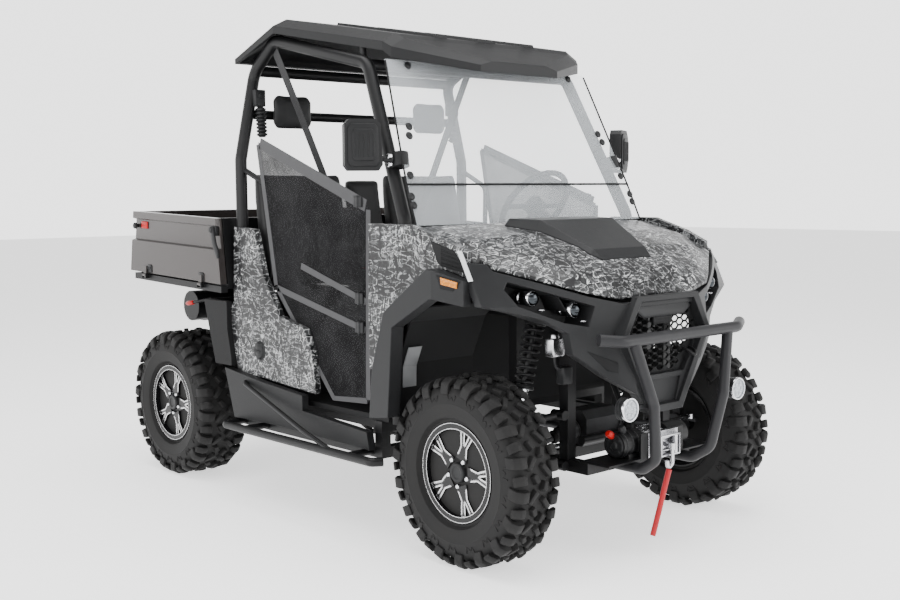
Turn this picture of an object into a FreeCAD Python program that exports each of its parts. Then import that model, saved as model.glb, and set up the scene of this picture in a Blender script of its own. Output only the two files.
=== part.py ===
import FreeCAD, Part
import math
import os

import Sketcher
from FreeCAD import Placement, Rotation, Vector

# A two-seat utility side by side: +X is forward, +Y is its left, +Z is up, in millimetres.
# The origin is on the ground, under the middle of the vehicle's box.

os.makedirs("parts", exist_ok=True)
document = FreeCAD.newDocument("side_by_side")
sheet = document.addObject("Spreadsheet::Sheet", "sizes")

# Driving dimensions
DIMENSIONS = {
    # running gear
    "front_axle": 885,
    "wheelbase": 1870,
    "tyre_radius": 317.5,
    "front_tyre_width": 200,
    "rear_tyre_width": 230,
    "front_wheel_side": 590,
    "rear_wheel_side": 585,
    "flange_radius": 166.5,
    "bead_radius": 152,
    "rim_wall": 6,
    "bead_clearance": 0.3,
    "kingpin_side": 520,
    "ball_upper": 410,
    "ball_lower": 235,
    "spindle": 15,
    "arm_tube": 12,
    "arm_spread": 120,
    # frame
    "rail_side": 260,
    "rail_size": 40,
    "rail_low": 285,
    "sill_side": 600,
    "sill_rear": -520,
    "sill_front": 440,
    "frame_rear": -1200,
    "frame_front": 1120,
    "deck_low": 740,
    "nose_rail_low": 800,
    # cabin
    "cage_tube": 24,
    "pillar_side": 612,
    "pillar_rear": -470,
    "shoulder_high": 1380,
    "roof_side": 600,
    "roof_wall": 14,
    "floor_top": 440,
    "floor_wall": 20,
    "panel_wall": 6,
    "panel_side": 642,
    "rocker_side": 672,
    "arch_side": 720,
    "glass_wall": 5,
    "glass_lean": 22.8,
    # cargo bed
    "bed_hinge_x": -1215,
    "bed_hinge_z": 800,
    "bed_pitch": 2,
    "bed_length": 780,
    "bed_width": 1400,
    "bed_behind": 75,
    "gate_high": 270,
    "gate_wall": 30,
    "deck_wall": 20,
    "pin_radius": 8,
    "hitch_pin": 8.25,
    "gate_pin": 4,
    "hood_pin": 3,
    "nose_wall": 34,
    "nose_tip": 1222,
    "front_lean": 40,
    "deck_high": 95,
    "column_lean": 35,
    "wheel_grip": 165,
    "rack_level": 360,
    "rear_lean": 30,
    "pin_clearance": 0.3,
    "seat_gap": 0.3,
}
for row, (alias, size) in enumerate(DIMENSIONS.items(), start=1):
    sheet.set(f"A{row}", alias)
    sheet.set(f"B{row}", str(size))
    sheet.setAlias(f"B{row}", alias)
document.recompute()


class Length:
    """A size that keeps the sheet expression it was worked out from."""

    def __init__(self, value, text):
        self.value = value
        self.text = text

    def __float__(self):
        return float(self.value)

    def __add__(self, other):
        other = length(other)
        return Length(self.value + other.value, f"({self.text} + {other.text})")

    def __radd__(self, other):
        return length(other) + self

    def __sub__(self, other):
        other = length(other)
        return Length(self.value - other.value, f"({self.text} - {other.text})")

    def __rsub__(self, other):
        return length(other) - self

    def __mul__(self, other):
        other = length(other)
        return Length(self.value * other.value, f"({self.text} * {other.text})")

    def __rmul__(self, other):
        return length(other) * self

    def __truediv__(self, other):
        other = length(other)
        return Length(self.value / other.value, f"({self.text} / {other.text})")

    def __neg__(self):
        return Length(-self.value, f"(0 - {self.text})")


def length(size):
    """Takes a plain number or a Length and gives a Length."""
    if isinstance(size, Length):
        return size
    return Length(float(size), f"({size})")


class Sizes:
    """Reads each driving dimension by its alias."""

    def __getattr__(self, alias):
        return Length(float(sheet.get(alias)), f"sizes.{alias}")


size = Sizes()


def bind(thing, path, value):
    thing.setExpression(path, length(value).text)


def vector(x, y, z):
    return Vector(float(x), float(y), float(z))


# Building blocks

PLANE_ROLE = {"XY": "XY_Plane", "XZ": "XZ_Plane", "YZ": "YZ_Plane"}


def place(thing, x, y, z):
    """Moves a sub-part to a place worked out from the sheet."""
    thing.Placement.Base = vector(x, y, z)
    for axis, value in zip("xyz", (x, y, z)):
        bind(thing, f"Placement.Base.{axis}", value)
    return thing


def add_sketch(body, plane, level, points=(), circles=()):
    """Draws closed outlines on one of the body's own planes, at a level along its normal."""
    sketch = body.newObject("Sketcher::SketchObject", "outline")
    base = [item for item in body.Origin.OriginFeatures if item.Role == PLANE_ROLE[plane]][0]
    sketch.AttachmentSupport = [(base, "")]
    sketch.MapMode = "FlatFace"
    level = -length(level) if plane == "XZ" else length(level)
    sketch.AttachmentOffset = Placement(vector(0, 0, level), Rotation())
    bind(sketch, "AttachmentOffset.Base.z", level)
    if points:
        draw_polygon(sketch, points)
    for u, v, radius in circles:
        draw_circle(sketch, u, v, radius)
    return sketch


def draw_polygon(sketch, points):
    first = sketch.GeometryCount
    corners = [Vector(float(u), float(v), 0) for u, v in points]
    count = len(corners)
    sides = [Part.LineSegment(corners[i], corners[(i + 1) % count]) for i in range(count)]
    sketch.addGeometry(sides, False)
    rules = []
    for i in range(count):
        rules.append(Sketcher.Constraint("Coincident", first + i, 2, first + (i + 1) % count, 1))
    sketch.addConstraint(rules)
    for i, (u, v) in enumerate(points):
        place_point(sketch, first + i, 1, u, v)


def draw_circle(sketch, u, v, radius):
    index = sketch.GeometryCount
    sketch.addGeometry(Part.Circle(Vector(float(u), float(v), 0), Vector(0, 0, 1), float(radius)), False)
    place_point(sketch, index, 3, u, v)
    rule = sketch.addConstraint(Sketcher.Constraint("Radius", index, float(radius)))
    bind(sketch, f"Constraints[{rule}]", radius)


def place_point(sketch, index, corner, u, v):
    for kind, value in (("DistanceX", u), ("DistanceY", v)):
        rule = sketch.addConstraint(Sketcher.Constraint(kind, -1, 1, index, corner, float(value)))
        bind(sketch, f"Constraints[{rule}]", value)


def new_body(name):
    return document.addObject("PartDesign::Body", name)


def pad(body, plane, low, high, points=(), circles=()):
    """Fills an outline from one level to another along the plane's axis."""
    start = high if plane == "XZ" else low
    profile = add_sketch(body, plane, start, points, circles)
    feature = body.newObject("PartDesign::Pad", "pad")
    feature.Profile = profile
    bind(feature, "Length", length(high) - low)
    return feature


def pocket(body, plane, low, high, points=(), circles=()):
    """Cuts an outline out of the body from one level to another."""
    start = low if plane == "XZ" else high
    profile = add_sketch(body, plane, start, points, circles)
    feature = body.newObject("PartDesign::Pocket", "pocket")
    feature.Profile = profile
    bind(feature, "Length", length(high) - low)
    return feature


def cut_cells(body, low, high, outlines):
    """Pierces many outlines at once, all in one sketch across the X axis."""
    profile = add_sketch(body, "YZ", high)
    for outline in outlines:
        first = profile.GeometryCount
        corners = [Vector(float(u), float(v), 0) for u, v in outline]
        count = len(corners)
        profile.addGeometry([Part.LineSegment(corners[i], corners[(i + 1) % count]) for i in range(count)], False)
        profile.addConstraint([
            Sketcher.Constraint("Coincident", first + i, 2, first + (i + 1) % count, 1) for i in range(count)])
    feature = body.newObject("PartDesign::Pocket", "cells")
    feature.Profile = profile
    bind(feature, "Length", length(high) - low)


def prism(name, plane, low, high, points=(), circles=()):
    body = new_body(name)
    pad(body, plane, low, high, points, circles)
    return body


def turned(name, points):
    """A body of revolution about its own Y axis: points are radius and place along Y."""
    body = new_body(name)
    add_turn(body, points)
    return body


def add_turn(body, points):
    profile = add_sketch(body, "XY", 0, points)
    feature = body.newObject("PartDesign::Revolution", "turn")
    feature.Profile = profile
    feature.ReferenceAxis = (profile, ["V_Axis"])
    feature.Angle = 360
    return feature


def loft(name, plane, sections):
    """A ruled loft through closed outlines that lie at levels along the plane's axis."""
    body = new_body(name)
    profiles = [add_sketch(body, plane, level, points) for level, points in sections]
    feature = body.newObject("PartDesign::AdditiveLoft", "loft")
    feature.Profile = profiles[0]
    feature.Sections = profiles[1:]
    feature.Ruled = True
    return body


def box(name, x_low, x_high, y_low, y_high, z_low, z_high):
    thing = document.addObject("Part::Box", name)
    bind(thing, "Length", length(x_high) - x_low)
    bind(thing, "Width", length(y_high) - y_low)
    bind(thing, "Height", length(z_high) - z_low)
    return place(thing, x_low, y_low, z_low)


AXIS_TURN = {
    "X": Rotation(Vector(0, 1, 0), 90),
    "Y": Rotation(Vector(1, 0, 0), -90),
    "Z": Rotation(),
}


def cylinder(name, axis, x, y, z, radius, reach):
    """A round bar that starts at a point and runs along +X, +Y or +Z."""
    thing = document.addObject("Part::Cylinder", name)
    bind(thing, "Radius", radius)
    bind(thing, "Height", reach)
    thing.Placement = Placement(vector(x, y, z), AXIS_TURN[axis])
    return place(thing, x, y, z)


def solid_feature(name, shape):
    thing = document.addObject("Part::Feature", name)
    thing.Shape = shape
    return thing


def rod(name, start, end, radius, end_radius=None):
    """A straight bar or cone between two points in space."""
    start = vector(*start)
    run = vector(*end) - start
    if end_radius is None:
        shape = Part.makeCylinder(float(radius), run.Length, start, run)
    else:
        shape = Part.makeCone(float(radius), float(end_radius), run.Length, start, run)
    return solid_feature(name, shape)


def tube(name, route, radius, bend):
    """A bent tube: straight runs joined by tangent arcs, swept with a round section."""
    points = [vector(*point) for point in route]
    edges = []
    here = points[0]
    for before, corner, after in zip(points, points[1:], points[2:]):
        back = (before - corner).normalize()
        ahead = (after - corner).normalize()
        half = back.getAngle(ahead) / 2
        reach = float(bend) / math.tan(half)
        start = corner + back * reach
        end = corner + ahead * reach
        middle_way = (back + ahead).normalize()
        middle = corner + middle_way * (float(bend) / math.sin(half) - float(bend))
        edges.append(Part.LineSegment(here, start).toShape())
        edges.append(Part.Arc(start, middle, end).toShape())
        here = end
    edges.append(Part.LineSegment(here, points[-1]).toShape())
    path = Part.Wire(edges)
    section = Part.Wire(Part.Circle(points[0], points[1] - points[0], float(radius)).toShape())
    return solid_feature(name, path.makePipeShell([section], True, False))


def mirrored(name, source):
    """The left-hand twin of a right-hand piece."""
    thing = document.addObject("Part::Mirroring", name)
    thing.Source = source
    thing.Normal = Vector(0, 1, 0)
    return thing


def with_twin(name, source):
    return [source, mirrored(name + "_left", source)]


def fused(name, pieces):
    thing = document.addObject("Part::MultiFuse", name)
    thing.Shapes = pieces
    thing.Refine = True
    return thing


def together(name, pieces):
    thing = document.addObject("Part::Compound", name)
    thing.Links = pieces
    return thing


def cut(name, base, tools):
    """Takes the tools' shapes out of the base, as a coped joint or an opening."""
    thing = document.addObject("Part::Cut", name)
    thing.Base = base
    thing.Tool = tools[0] if len(tools) == 1 else together(name + "_tools", tools)
    return thing


NODES = []


def node(label, thing):
    thing.Label = label
    NODES.append(thing)
    return thing


# Places worked out from the driving dimensions

REAR_AXLE = size.front_axle - size.wheelbase
RAIL_TOP = size.rail_low + size.rail_size
RAIL_INNER = size.rail_side - size.rail_size / 2
RAIL_OUTER = size.rail_side + size.rail_size / 2
FLOOR_LOW = size.floor_top - size.floor_wall
SILL_REACH = size.sill_side + size.rail_size / 2
FLOOR_MEMBERS = (size.sill_rear, -60, size.sill_front - size.rail_size)
DASH_BEAM = 480


# How far the nose's face has swept back at each bend, from the middle out, and at two levels:
# the cheeks lean back towards the top
NOSE_LEVELS = (870, 1030)
NOSE_BENDS = ((150, 0, 0), (330, 65, 65), (664, 222, 300))


def nose_face(side, level):
    """Front face of the nose wall at a distance from the middle and a height off the ground."""
    side = float(side)
    low, high = NOSE_LEVELS
    share = min(max((level - low) / (high - low), 0), 1)
    for (near, *start), (far, *end) in zip(NOSE_BENDS, NOSE_BENDS[1:]):
        if side <= far:
            break
    swept = []
    for back, more in zip(start, end):
        swept.append(back + max(side - near, 0) * (more - back) / (far - near))
    return size.nose_tip - (swept[0] + (swept[1] - swept[0]) * share)


# Frame


def rail_pair(name, x_low, x_high, z_low, z_high):
    right = box(name, x_low, x_high, -RAIL_OUTER, -RAIL_INNER, z_low, z_high)
    return with_twin(name, right)


def cross_member(name, x_low, reach_side, z_low):
    return box(name, x_low, x_low + size.rail_size, -reach_side, reach_side, z_low, z_low + size.rail_size)


def make_rails(pillars):
    """Everything that runs lengthwise: main, deck, nose and sill rails."""
    deck_top = size.deck_low + size.rail_size
    nose_top = size.nose_rail_low + size.rail_size
    nose_reach = nose_face(RAIL_OUTER, NOSE_LEVELS[0]) - size.nose_wall
    parts = []
    parts += rail_pair("main_rail", size.frame_rear, size.frame_front, size.rail_low, RAIL_TOP)
    parts += rail_pair("deck_rail", size.frame_rear, size.pillar_rear, size.deck_low, deck_top)
    parts += rail_pair("nose_rail", DASH_BEAM, nose_reach, size.nose_rail_low, nose_top)
    parts += with_twin("sill_rail", box(
        "sill_rail", size.sill_rear, size.sill_front, -SILL_REACH, -SILL_REACH + size.rail_size,
        size.rail_low, RAIL_TOP))
    return cut("frame_rails", together("rails_whole", parts), pillars)


def make_posts(pillars):
    """Posts and towers on the rails, the floor's posts on the sills, and the shock brackets."""
    deck_top = size.deck_low + size.rail_size
    nose_top = size.nose_rail_low + size.rail_size
    parts = []
    for name, x_low, top in (
        ("tail_post", size.frame_rear, size.deck_low),
        ("rear_tower", REAR_AXLE - size.arm_spread - 20, size.deck_low),
        ("rear_tower", REAR_AXLE + size.arm_spread - 20, size.deck_low),
        ("mid_post", size.pillar_rear - 40, size.deck_low),
        ("front_tower", size.front_axle - size.arm_spread - 20, size.nose_rail_low),
        ("front_tower", size.front_axle + size.arm_spread - 15, size.nose_rail_low),
    ):
        parts += rail_pair(name, x_low, x_low + size.rail_size, RAIL_TOP, top)
    for axle, top in ((size.front_axle, nose_top), (REAR_AXLE, deck_top)):
        parts += with_twin("shock_bracket", box(
            "shock_bracket", axle + 16, axle + 68, -RAIL_OUTER - 70, -RAIL_OUTER, top - 14, top))
    for x_low in FLOOR_MEMBERS:
        parts += with_twin("floor_post", box(
            "floor_post", x_low, x_low + size.rail_size, -SILL_REACH, -SILL_REACH + size.rail_size,
            RAIL_TOP, FLOOR_LOW - 40))
    return cut("frame_posts", together("posts_whole", parts), pillars)


def make_members(tools):
    """Everything that runs across, coped to the rails and posts, and the ears and pins of the bed's hinge."""
    parts = []
    for x_low in (size.frame_rear, REAR_AXLE - 20, -880, -570, size.front_axle - 20, 1080):
        parts.append(cross_member("cross_member", x_low, RAIL_INNER, size.rail_low))
    for x_low in (size.sill_rear, size.sill_front - size.rail_size):
        parts.append(cross_member("wide_member", x_low, SILL_REACH - size.rail_size, size.rail_low))
    for x_low in FLOOR_MEMBERS:
        parts.append(cross_member("floor_member", x_low, SILL_REACH, FLOOR_LOW - 40))
    parts.append(cross_member("pillar_beam", size.pillar_rear - 20, size.pillar_side, size.deck_low))
    parts.append(cross_member("dash_beam", DASH_BEAM, size.pillar_side - 12, size.nose_rail_low))
    ear = box(
        "hinge_ear", size.bed_hinge_x - 24, size.frame_rear + size.rail_size,
        -RAIL_INNER, -RAIL_INNER + 18, size.deck_low, size.bed_hinge_z + 22)
    pin = cylinder("hinge_pin", "Y", size.bed_hinge_x, -RAIL_INNER, size.bed_hinge_z, size.pin_radius, 40)
    parts += with_twin("hinge_ear", fused("hinge_ear_pinned", [ear, pin]))
    return cut("frame_members", together("members_whole", parts), tools)


def make_receiver():
    """The square hitch tube on the rearmost cross member, with its pin hole."""
    return cut("hitch_receiver", box(
        "receiver_tube", -1348, size.frame_rear, -32, 32, size.rail_low - 12, size.rail_low + 52), [
        box("receiver_bore", -1349, size.frame_rear - 20, -25.5, 25.5, size.rail_low - 5.5, size.rail_low + 45.5),
        cylinder("hitch_hole", "Y", -1321, -40, size.rail_low + 20, size.hitch_pin, 80)])


# Cage


def cage_routes():
    side = size.pillar_side
    return {
        "side_hoop": [
            (size.pillar_rear, -side, RAIL_TOP),
            (size.pillar_rear, -side, size.shoulder_high),
            (size.pillar_rear - 10, -530, 1738),
            (-300, -548, 1848),
            (274, -530, 1712),
            (555, -598, 1140),
            (510, -598, FLOOR_LOW),
        ],
    }


def make_side_hoop():
    return tube("side_hoop", cage_routes()["side_hoop"], size.cage_tube, 70)


def make_cage(hoop):
    parts = with_twin("side_hoop", hoop)
    radius = size.cage_tube
    parts.append(rod("headrest_bar", (size.pillar_rear - 5, -575, 1565), (size.pillar_rear - 5, 575, 1565), radius - 5))
    parts.append(rod("rear_header", (size.pillar_rear - 4, -528, 1742), (size.pillar_rear - 4, 528, 1742), radius - 2))
    parts.append(rod("front_header", (269, -530, 1708), (269, 530, 1708), radius - 4))
    for x_place, side, low, high in ((-270, 546, 1835, 1899), (215, 505, 1726, 1812)):
        parts += with_twin("roof_post", cylinder("roof_post", "Z", x_place, -side, low, 14, high - low))
    grab = [(size.pillar_rear, -608, 1345), (-279, -588, 1262), (-287, -588, 960), (-312, -588, 880),
            (size.pillar_rear, -608, 858)]
    parts += with_twin("grab_hoop", tube("grab_hoop", grab, 11, 45))
    return fused("cage", parts)


# Wheels


def make_rim(side, width, wheel_side, axle, king):
    """One wheel: barrel, five forked spokes and hub, in its own frame about the axle."""
    half = length(width) / 2 - 22
    body = turned("rim_" + side, [
        (size.flange_radius, -half), (size.flange_radius, -half + 5),
        (size.bead_radius, -half + 5), (size.bead_radius, -half + 40),
        (size.bead_radius - 14, -half + 60), (size.bead_radius - 14, half - 60),
        (size.bead_radius, half - 40), (size.bead_radius, half - 5),
        (size.flange_radius, half - 5), (size.flange_radius, half),
        (size.flange_radius - size.rim_wall, half),
        (size.bead_radius - size.rim_wall, half - 8), (size.bead_radius - size.rim_wall, half - 38),
        (size.bead_radius - 14 - size.rim_wall, half - 58),
        (size.bead_radius - 14 - size.rim_wall, -half + 58),
        (size.bead_radius - size.rim_wall, -half + 38), (size.bead_radius - size.rim_wall, -half),
    ])
    face = -half + 12
    hub_end = length(wheel_side) - king - 18
    add_turn(body, [(0, face + 10), (52, face + 10), (52, face + 40), (30, face + 40), (30, hub_end),
                    (size.spindle, hub_end), (size.spindle, hub_end + 36), (0, hub_end + 36)])
    spoke = pad(body, "XZ", face, face + 22, [
        (45, -26), (92, -16), (size.bead_radius - 7, -34), (size.bead_radius - 4, -12),
        (100, 0), (size.bead_radius - 4, 12), (size.bead_radius - 7, 34), (92, 16), (45, 26)])
    document.recompute()
    pattern = body.newObject("PartDesign::PolarPattern", "spokes")
    pattern.Originals = [spoke]
    axis = [item for item in body.Origin.OriginFeatures if item.Role == "Y_Axis"][0]
    pattern.Axis = (axis, [""])
    pattern.Angle = 360
    pattern.Occurrences = 5
    body.Tip = pattern
    return place(body, axle, -wheel_side, size.tyre_radius)


def faceted_ring(name, section, sides):
    """A ring about the Y axis made of flat facets: section points are radius to the flats and place along Y."""
    step = 2 * math.pi / sides
    stretch = 1 / math.cos(step / 2)
    def point(corner, turn):
        radius = float(corner[0]) * stretch
        angle = (turn + 0.5) * step
        return Vector(radius * math.sin(angle), float(corner[1]), -radius * math.cos(angle))
    faces = []
    for turn in range(sides):
        for here, there in zip(section, section[1:] + section[:1]):
            corners = [point(here, turn), point(there, turn), point(there, turn + 1), point(here, turn + 1)]
            faces.append(Part.Face(Part.makePolygon(corners + corners[:1])))
    solid = Part.Solid(Part.Shell(faces))
    if solid.Volume < 0:
        solid.reverse()
    return solid_feature(name, solid)


TYRE_STEPS = 24
LUG_BANDS = {"outer": (2, 3), "outer_row": (5,), "inner_row": (7,), "inner": (9, 10)}


def lug_stands(band, turn):
    """Lugs alternate along the tread, each row staggered against the next."""
    even = turn % 2 == 0
    if band in LUG_BANDS["outer"] + LUG_BANDS["inner_row"]:
        return even
    return band in LUG_BANDS["inner"] + LUG_BANDS["outer_row"] and not even


def lugged_ring(name, section, steps):
    """A flat-faceted ring about the Y axis: each corner is given for the groove and for the lug's top."""
    step = 2 * math.pi / steps
    stretch = 1 / math.cos(step / 2)
    faces = []
    def point(corner, turn):
        radius = float(corner[0]) * stretch
        angle = (turn + 0.5) * step
        return Vector(radius * math.sin(angle), float(corner[1]), -radius * math.cos(angle))
    def add(corners):
        loop = [corner for place, corner in enumerate(corners) if not corner.isEqual(corners[place - 1], 1e-6)]
        faces.append(Part.Face(Part.makePolygon(loop + loop[:1])))
    for turn in range(steps):
        for band, here in enumerate(section):
            there = section[(band + 1) % len(section)]
            high = lug_stands(band, turn)
            low_edge, high_edge = here[high], there[high]
            add([point(low_edge, turn), point(high_edge, turn), point(high_edge, turn + 1), point(low_edge, turn + 1)])
            if high != lug_stands(band, (turn - 1) % steps):
                add([point(here[0], turn), point(there[0], turn), point(there[1], turn), point(here[1], turn)])
            if high != lug_stands((band - 1) % len(section), turn) and here[0] != here[1]:
                add([point(here[0], turn), point(here[1], turn), point(here[1], turn + 1), point(here[0], turn + 1)])
    shell = Part.Shell(faces)
    solid = Part.Solid(shell)
    if solid.Volume < 0:
        solid.reverse()
    return solid_feature(name, solid)


def make_tyre(side, width, wheel_side, axle, king):
    half = float(length(width)) / 2
    bead = float(size.bead_radius + size.bead_clearance)
    flange = float(size.flange_radius) + 2
    rim_half = half - 22 - 5.5
    crown = float(size.tyre_radius)
    groove = crown - 14
    row = (half - 62, 6)
    right = [
        ((flange, -rim_half),) * 2, ((262, -half + 2),) * 2,
        ((288, -half + 14), (crown - 22, -half + 2)), ((groove, -half + 30), (crown, -half + 24)),
        ((groove, -half + 52), (crown, -half + 52)), ((groove, -row[0]), (crown, -row[0])),
        ((groove, -row[1]), (crown, -row[1]))]
    left = [tuple((radius, -reach) for radius, reach in corner) for corner in reversed(right)]
    cavity = [(bead, rim_half), (bead, rim_half - 18), (280, half - 22), (280, -half + 22),
              (bead, -rim_half + 18), (bead, -rim_half)]
    ring = lugged_ring("tyre_" + side, right + left + [(corner, corner) for corner in cavity], TYRE_STEPS)
    return place(ring, axle, -wheel_side, size.tyre_radius)


def make_wheels():
    for end, axle, width, wheel_side, king in (
        ("front", size.front_axle, size.front_tyre_width, size.front_wheel_side, size.kingpin_side),
        ("rear", REAR_AXLE, size.rear_tyre_width, size.rear_wheel_side, size.kingpin_side - 30),
    ):
        for kind, maker in (("rim", make_rim), ("tyre", make_tyre)):
            right = node(f"{kind}_{end}_right", maker(f"{end}_right", width, wheel_side, axle, king))
            node(f"{kind}_{end}_left", mirrored(f"{kind}_{end}_left", right))


# Running gear


def make_arm(name, axle, inner_side, inner_level, ball_side, ball_level, frame):
    """A tubular A-arm: two legs from pivot sleeves to a ball socket about the kingpin."""
    parts = []
    for step in (-1, 1):
        pivot = axle + size.arm_spread * step
        parts.append(rod("leg", (pivot, -inner_side, inner_level), (axle, -ball_side, ball_level), size.arm_tube))
        parts.append(cylinder("sleeve", "X", pivot - 28, -inner_side, inner_level, size.arm_tube + 5, 56))
    parts.append(cylinder("socket", "Z", axle, -ball_side, ball_level - 14, 21, 32 if ball_level.value < 300 else 28))
    return cut(name, fused(name + "_weld", parts), [frame])


def make_suspension(frame):
    arms = []
    inner = RAIL_OUTER + size.arm_tube + 4
    for end, axle, ball_side in (
        ("front", size.front_axle, size.kingpin_side),
        ("rear", REAR_AXLE, size.kingpin_side - 30),
    ):
        for level, inner_level, ball_level in (
            ("lower", size.rail_low + 20, size.ball_lower - 14),
            ("upper", 480, size.ball_upper + 28),
        ):
            arm = make_arm(f"{end}_{level}_arm", axle, inner, inner_level, ball_side, ball_level, frame)
            arms += with_twin(f"{end}_{level}_arm", arm)
    arms += with_twin("carrier", cut("carrier_fit", make_carrier(), arms[4::2]))
    return together("suspension_arms", arms)


def make_shocks(frame, arms):
    """Coil-over dampers, leaning in from the upper arms to their brackets on the frame."""
    parts = []
    for name, axle, top in (
        ("front_shock", size.front_axle, size.nose_rail_low + 26),
        ("rear_shock", REAR_AXLE, size.deck_low + 26),
    ):
        foot = (axle + 42, -430, 462)
        head = (axle + 42, -322, top)
        way = vector(*head) - vector(*foot)
        low = tuple(vector(*foot) + way * 0.28)
        high = tuple(vector(*foot) + way * 0.9)
        shock = fused(name + "_whole", [rod("damper", foot, head, 16), rod("coil", low, high, 36)])
        parts += with_twin(name, cut(name, shock, [frame, arms]))
    return together("shocks", parts)


def upright_parts(axle, king, low, high):
    """A hub carrier on the line of its ball joints, with the bearing that the wheel's spindle turns in."""
    bearing = cut("bearing_bored", cylinder("bearing", "Y", axle, -king - 16, size.tyre_radius, 46, 38), [
        cylinder("bearing_bore", "Y", axle, -king - 17, size.tyre_radius, size.spindle + size.pin_clearance, 40)])
    upright = cut("upright_bored", box("upright", axle - 16, axle + 16, -king - 14, -king + 10, low + 8, high - 8), [
        cylinder("upright_bore", "Y", axle, -king - 17, size.tyre_radius, size.spindle + size.pin_clearance, 40)])
    return [
        bearing, upright,
        cylinder("upper_eye", "Z", axle, -king, high - 24, 20, 24),
        cylinder("lower_eye", "Z", axle, -king, low, 20, 24),
    ]


def make_knuckle():
    axle = size.front_axle
    king = size.kingpin_side
    parts = upright_parts(axle, king, size.ball_lower + 9, size.ball_upper + 14 - size.seat_gap)
    parts.append(cylinder("lower_stud", "Z", axle, -king, size.ball_lower + 4 + size.seat_gap, 8, 8))
    parts.append(box("steering_arm", axle + 10, axle + 95, -king - 4, -king + 14, 342, size.rack_level - 4))
    return fused("knuckle_right", parts)


def make_carrier():
    return fused("carrier", upright_parts(
        REAR_AXLE, size.kingpin_side - 30, size.ball_lower + 4, size.ball_upper + 14))


# Body panels


def make_side_panel():
    outline = [
        (-486, 1106), (-336, 1098), (-275, 912), (-167, 759), (-4, 724), (46, 636), (67, 478),
        (-482, 513), (-521, 683), (-521, 780), (-500, 800), (-497, 950)]
    side = size.panel_side
    return prism("side_panel", "XZ", -side, -side + 26, outline)


def make_rocker():
    outline = [
        (-536, 523), (-252, 491), (19, 470), (19, 412), (416, 386), (431, 322), (-188, 330), (-469, 322)]
    return prism("rocker", "XZ", -size.rocker_side, -size.panel_side - size.seat_gap, outline)


def make_rear_guard():
    body = prism("rear_guard", "XZ", -665, -640, [
        (-703, 798), (-620, 532), (-494.6, 532), (-494.6, 566), (-521.4, 683), (-521.4, 798)])
    pad(body, "XZ", -640, -400, [(-703, 798), (-620, 532), (-606, 532), (-688, 798)])
    return body


def make_fender():
    axle = size.front_axle
    outline = [
        (434, 1132), (667, 1131), (820, 1083), (820, 990), (axle - 79, 992), (axle - 306, 832),
        (axle - 374, 625), (431, 615), (427, 861)]
    wing = loft("fender_wing", "YZ", [
        (820, [(-664, 990), (-664, 1083), (-638, 1083), (-638, 990)]),
        (940, [(-628, 952), (-628, 1042), (-604, 1042), (-604, 952)])])
    return fused("fender_whole", [prism("fender", "XZ", -664, -638, outline), wing])


def make_arch():
    axle = size.front_axle
    outline = [
        (axle - 390, 455), (axle - 374, 625), (axle - 306, 832), (axle - 79, 991), (axle - 55, 987),
        (axle - 55, 892), (axle - 66, 892), (axle - 261, 784), (axle - 288, 469)]
    wing = loft("arch_wing", "YZ", [
        (830, [(-720, 892), (-720, 987), (-666, 987), (-666, 892)]),
        (945, [(-682, 872), (-682, 955), (-648, 955), (-648, 872)])])
    return fused("arch_whole", [prism("arch", "XZ", -size.arch_side, -666, outline), wing])


HOOD_PIN = (1182, 878)


def make_hood_ear():
    """An ear under the hood's front edge, bored for its hinge pin."""
    x_pin, z_pin = HOOD_PIN
    return cut("hood_ear", box("ear", x_pin - 7, x_pin + 4, -102, -90, z_pin - 6, z_pin + 14), [
        cylinder("ear_bore", "Y", x_pin, -103, z_pin, size.hood_pin + size.pin_clearance, 14)])


def make_hood_bracket():
    """A bracket on the back of the nose wall, with the pin that the hood's ear turns on."""
    x_pin, z_pin = HOOD_PIN
    return [
        box("hood_bracket", x_pin - 7, size.nose_tip - size.nose_wall, -114, -104, z_pin - 28, z_pin),
        cylinder("hood_pin", "Y", x_pin, -110, z_pin, size.hood_pin, 24),
    ]


def make_hood():
    """The skin falls from its crests to the fenders, and narrows behind the swept nose."""
    wall = 12
    def band(*corners):
        right = [(-side, level) for side, level in corners]
        top = right + [(-side, level) for side, level in reversed(right[:-1])]
        return top + [(side, level - wall) for side, level in reversed(top)]
    skin = loft("hood_skin", "YZ", [
        (634, band((632, 1113), (560, 1122), (280, 1127), (0, 1130))),
        (838, band((626, 1062), (545, 1078), (290, 1096), (0, 1101))),
        (975, band((590, 1003), (455, 1034), (280, 1044), (0, 1049))),
        (1110, band((400, 941), (330, 962), (210, 972), (0, 975))),
        (1157, band((325, 917), (250, 930), (160, 936), (0, 938))),
        (HOOD_PIN[0] + 4, band((190, 890), (150, 894), (90, 896), (0, 897))),
    ])
    return fused("hood", [skin] + with_twin("hood_ear", make_hood_ear()))


def make_scoop(hood):
    block = loft("scoop_block", "YZ", [
        (690, [(-250, 1113), (-220, 1144), (220, 1144), (250, 1113)]),
        (820, [(-225, 1094), (-195, 1140), (195, 1140), (225, 1094)]),
        (1020, [(-165, 1017), (-140, 1040), (140, 1040), (165, 1017)]),
        (1055, [(-150, 990), (-130, 1006), (130, 1006), (150, 990)]),
    ])
    return cut("hood_scoop", block, [hood])


def nose_band(name, near, far, back, front):
    """All that lies between two distances from the middle and two depths off the nose's face."""
    sides = (near, NOSE_BENDS[1][0], far)
    sections = []
    for level in (700,) + NOSE_LEVELS:
        outline = [(nose_face(side, level) + front, -side) for side in sides]
        sections.append((level, outline + [(nose_face(side, level) + back, -side) for side in reversed(sides)]))
    return loft(name, "XY", sections)


def common(name, first, second):
    thing = document.addObject("Part::Common", name)
    thing.Base = first
    thing.Tool = second
    return thing


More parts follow.
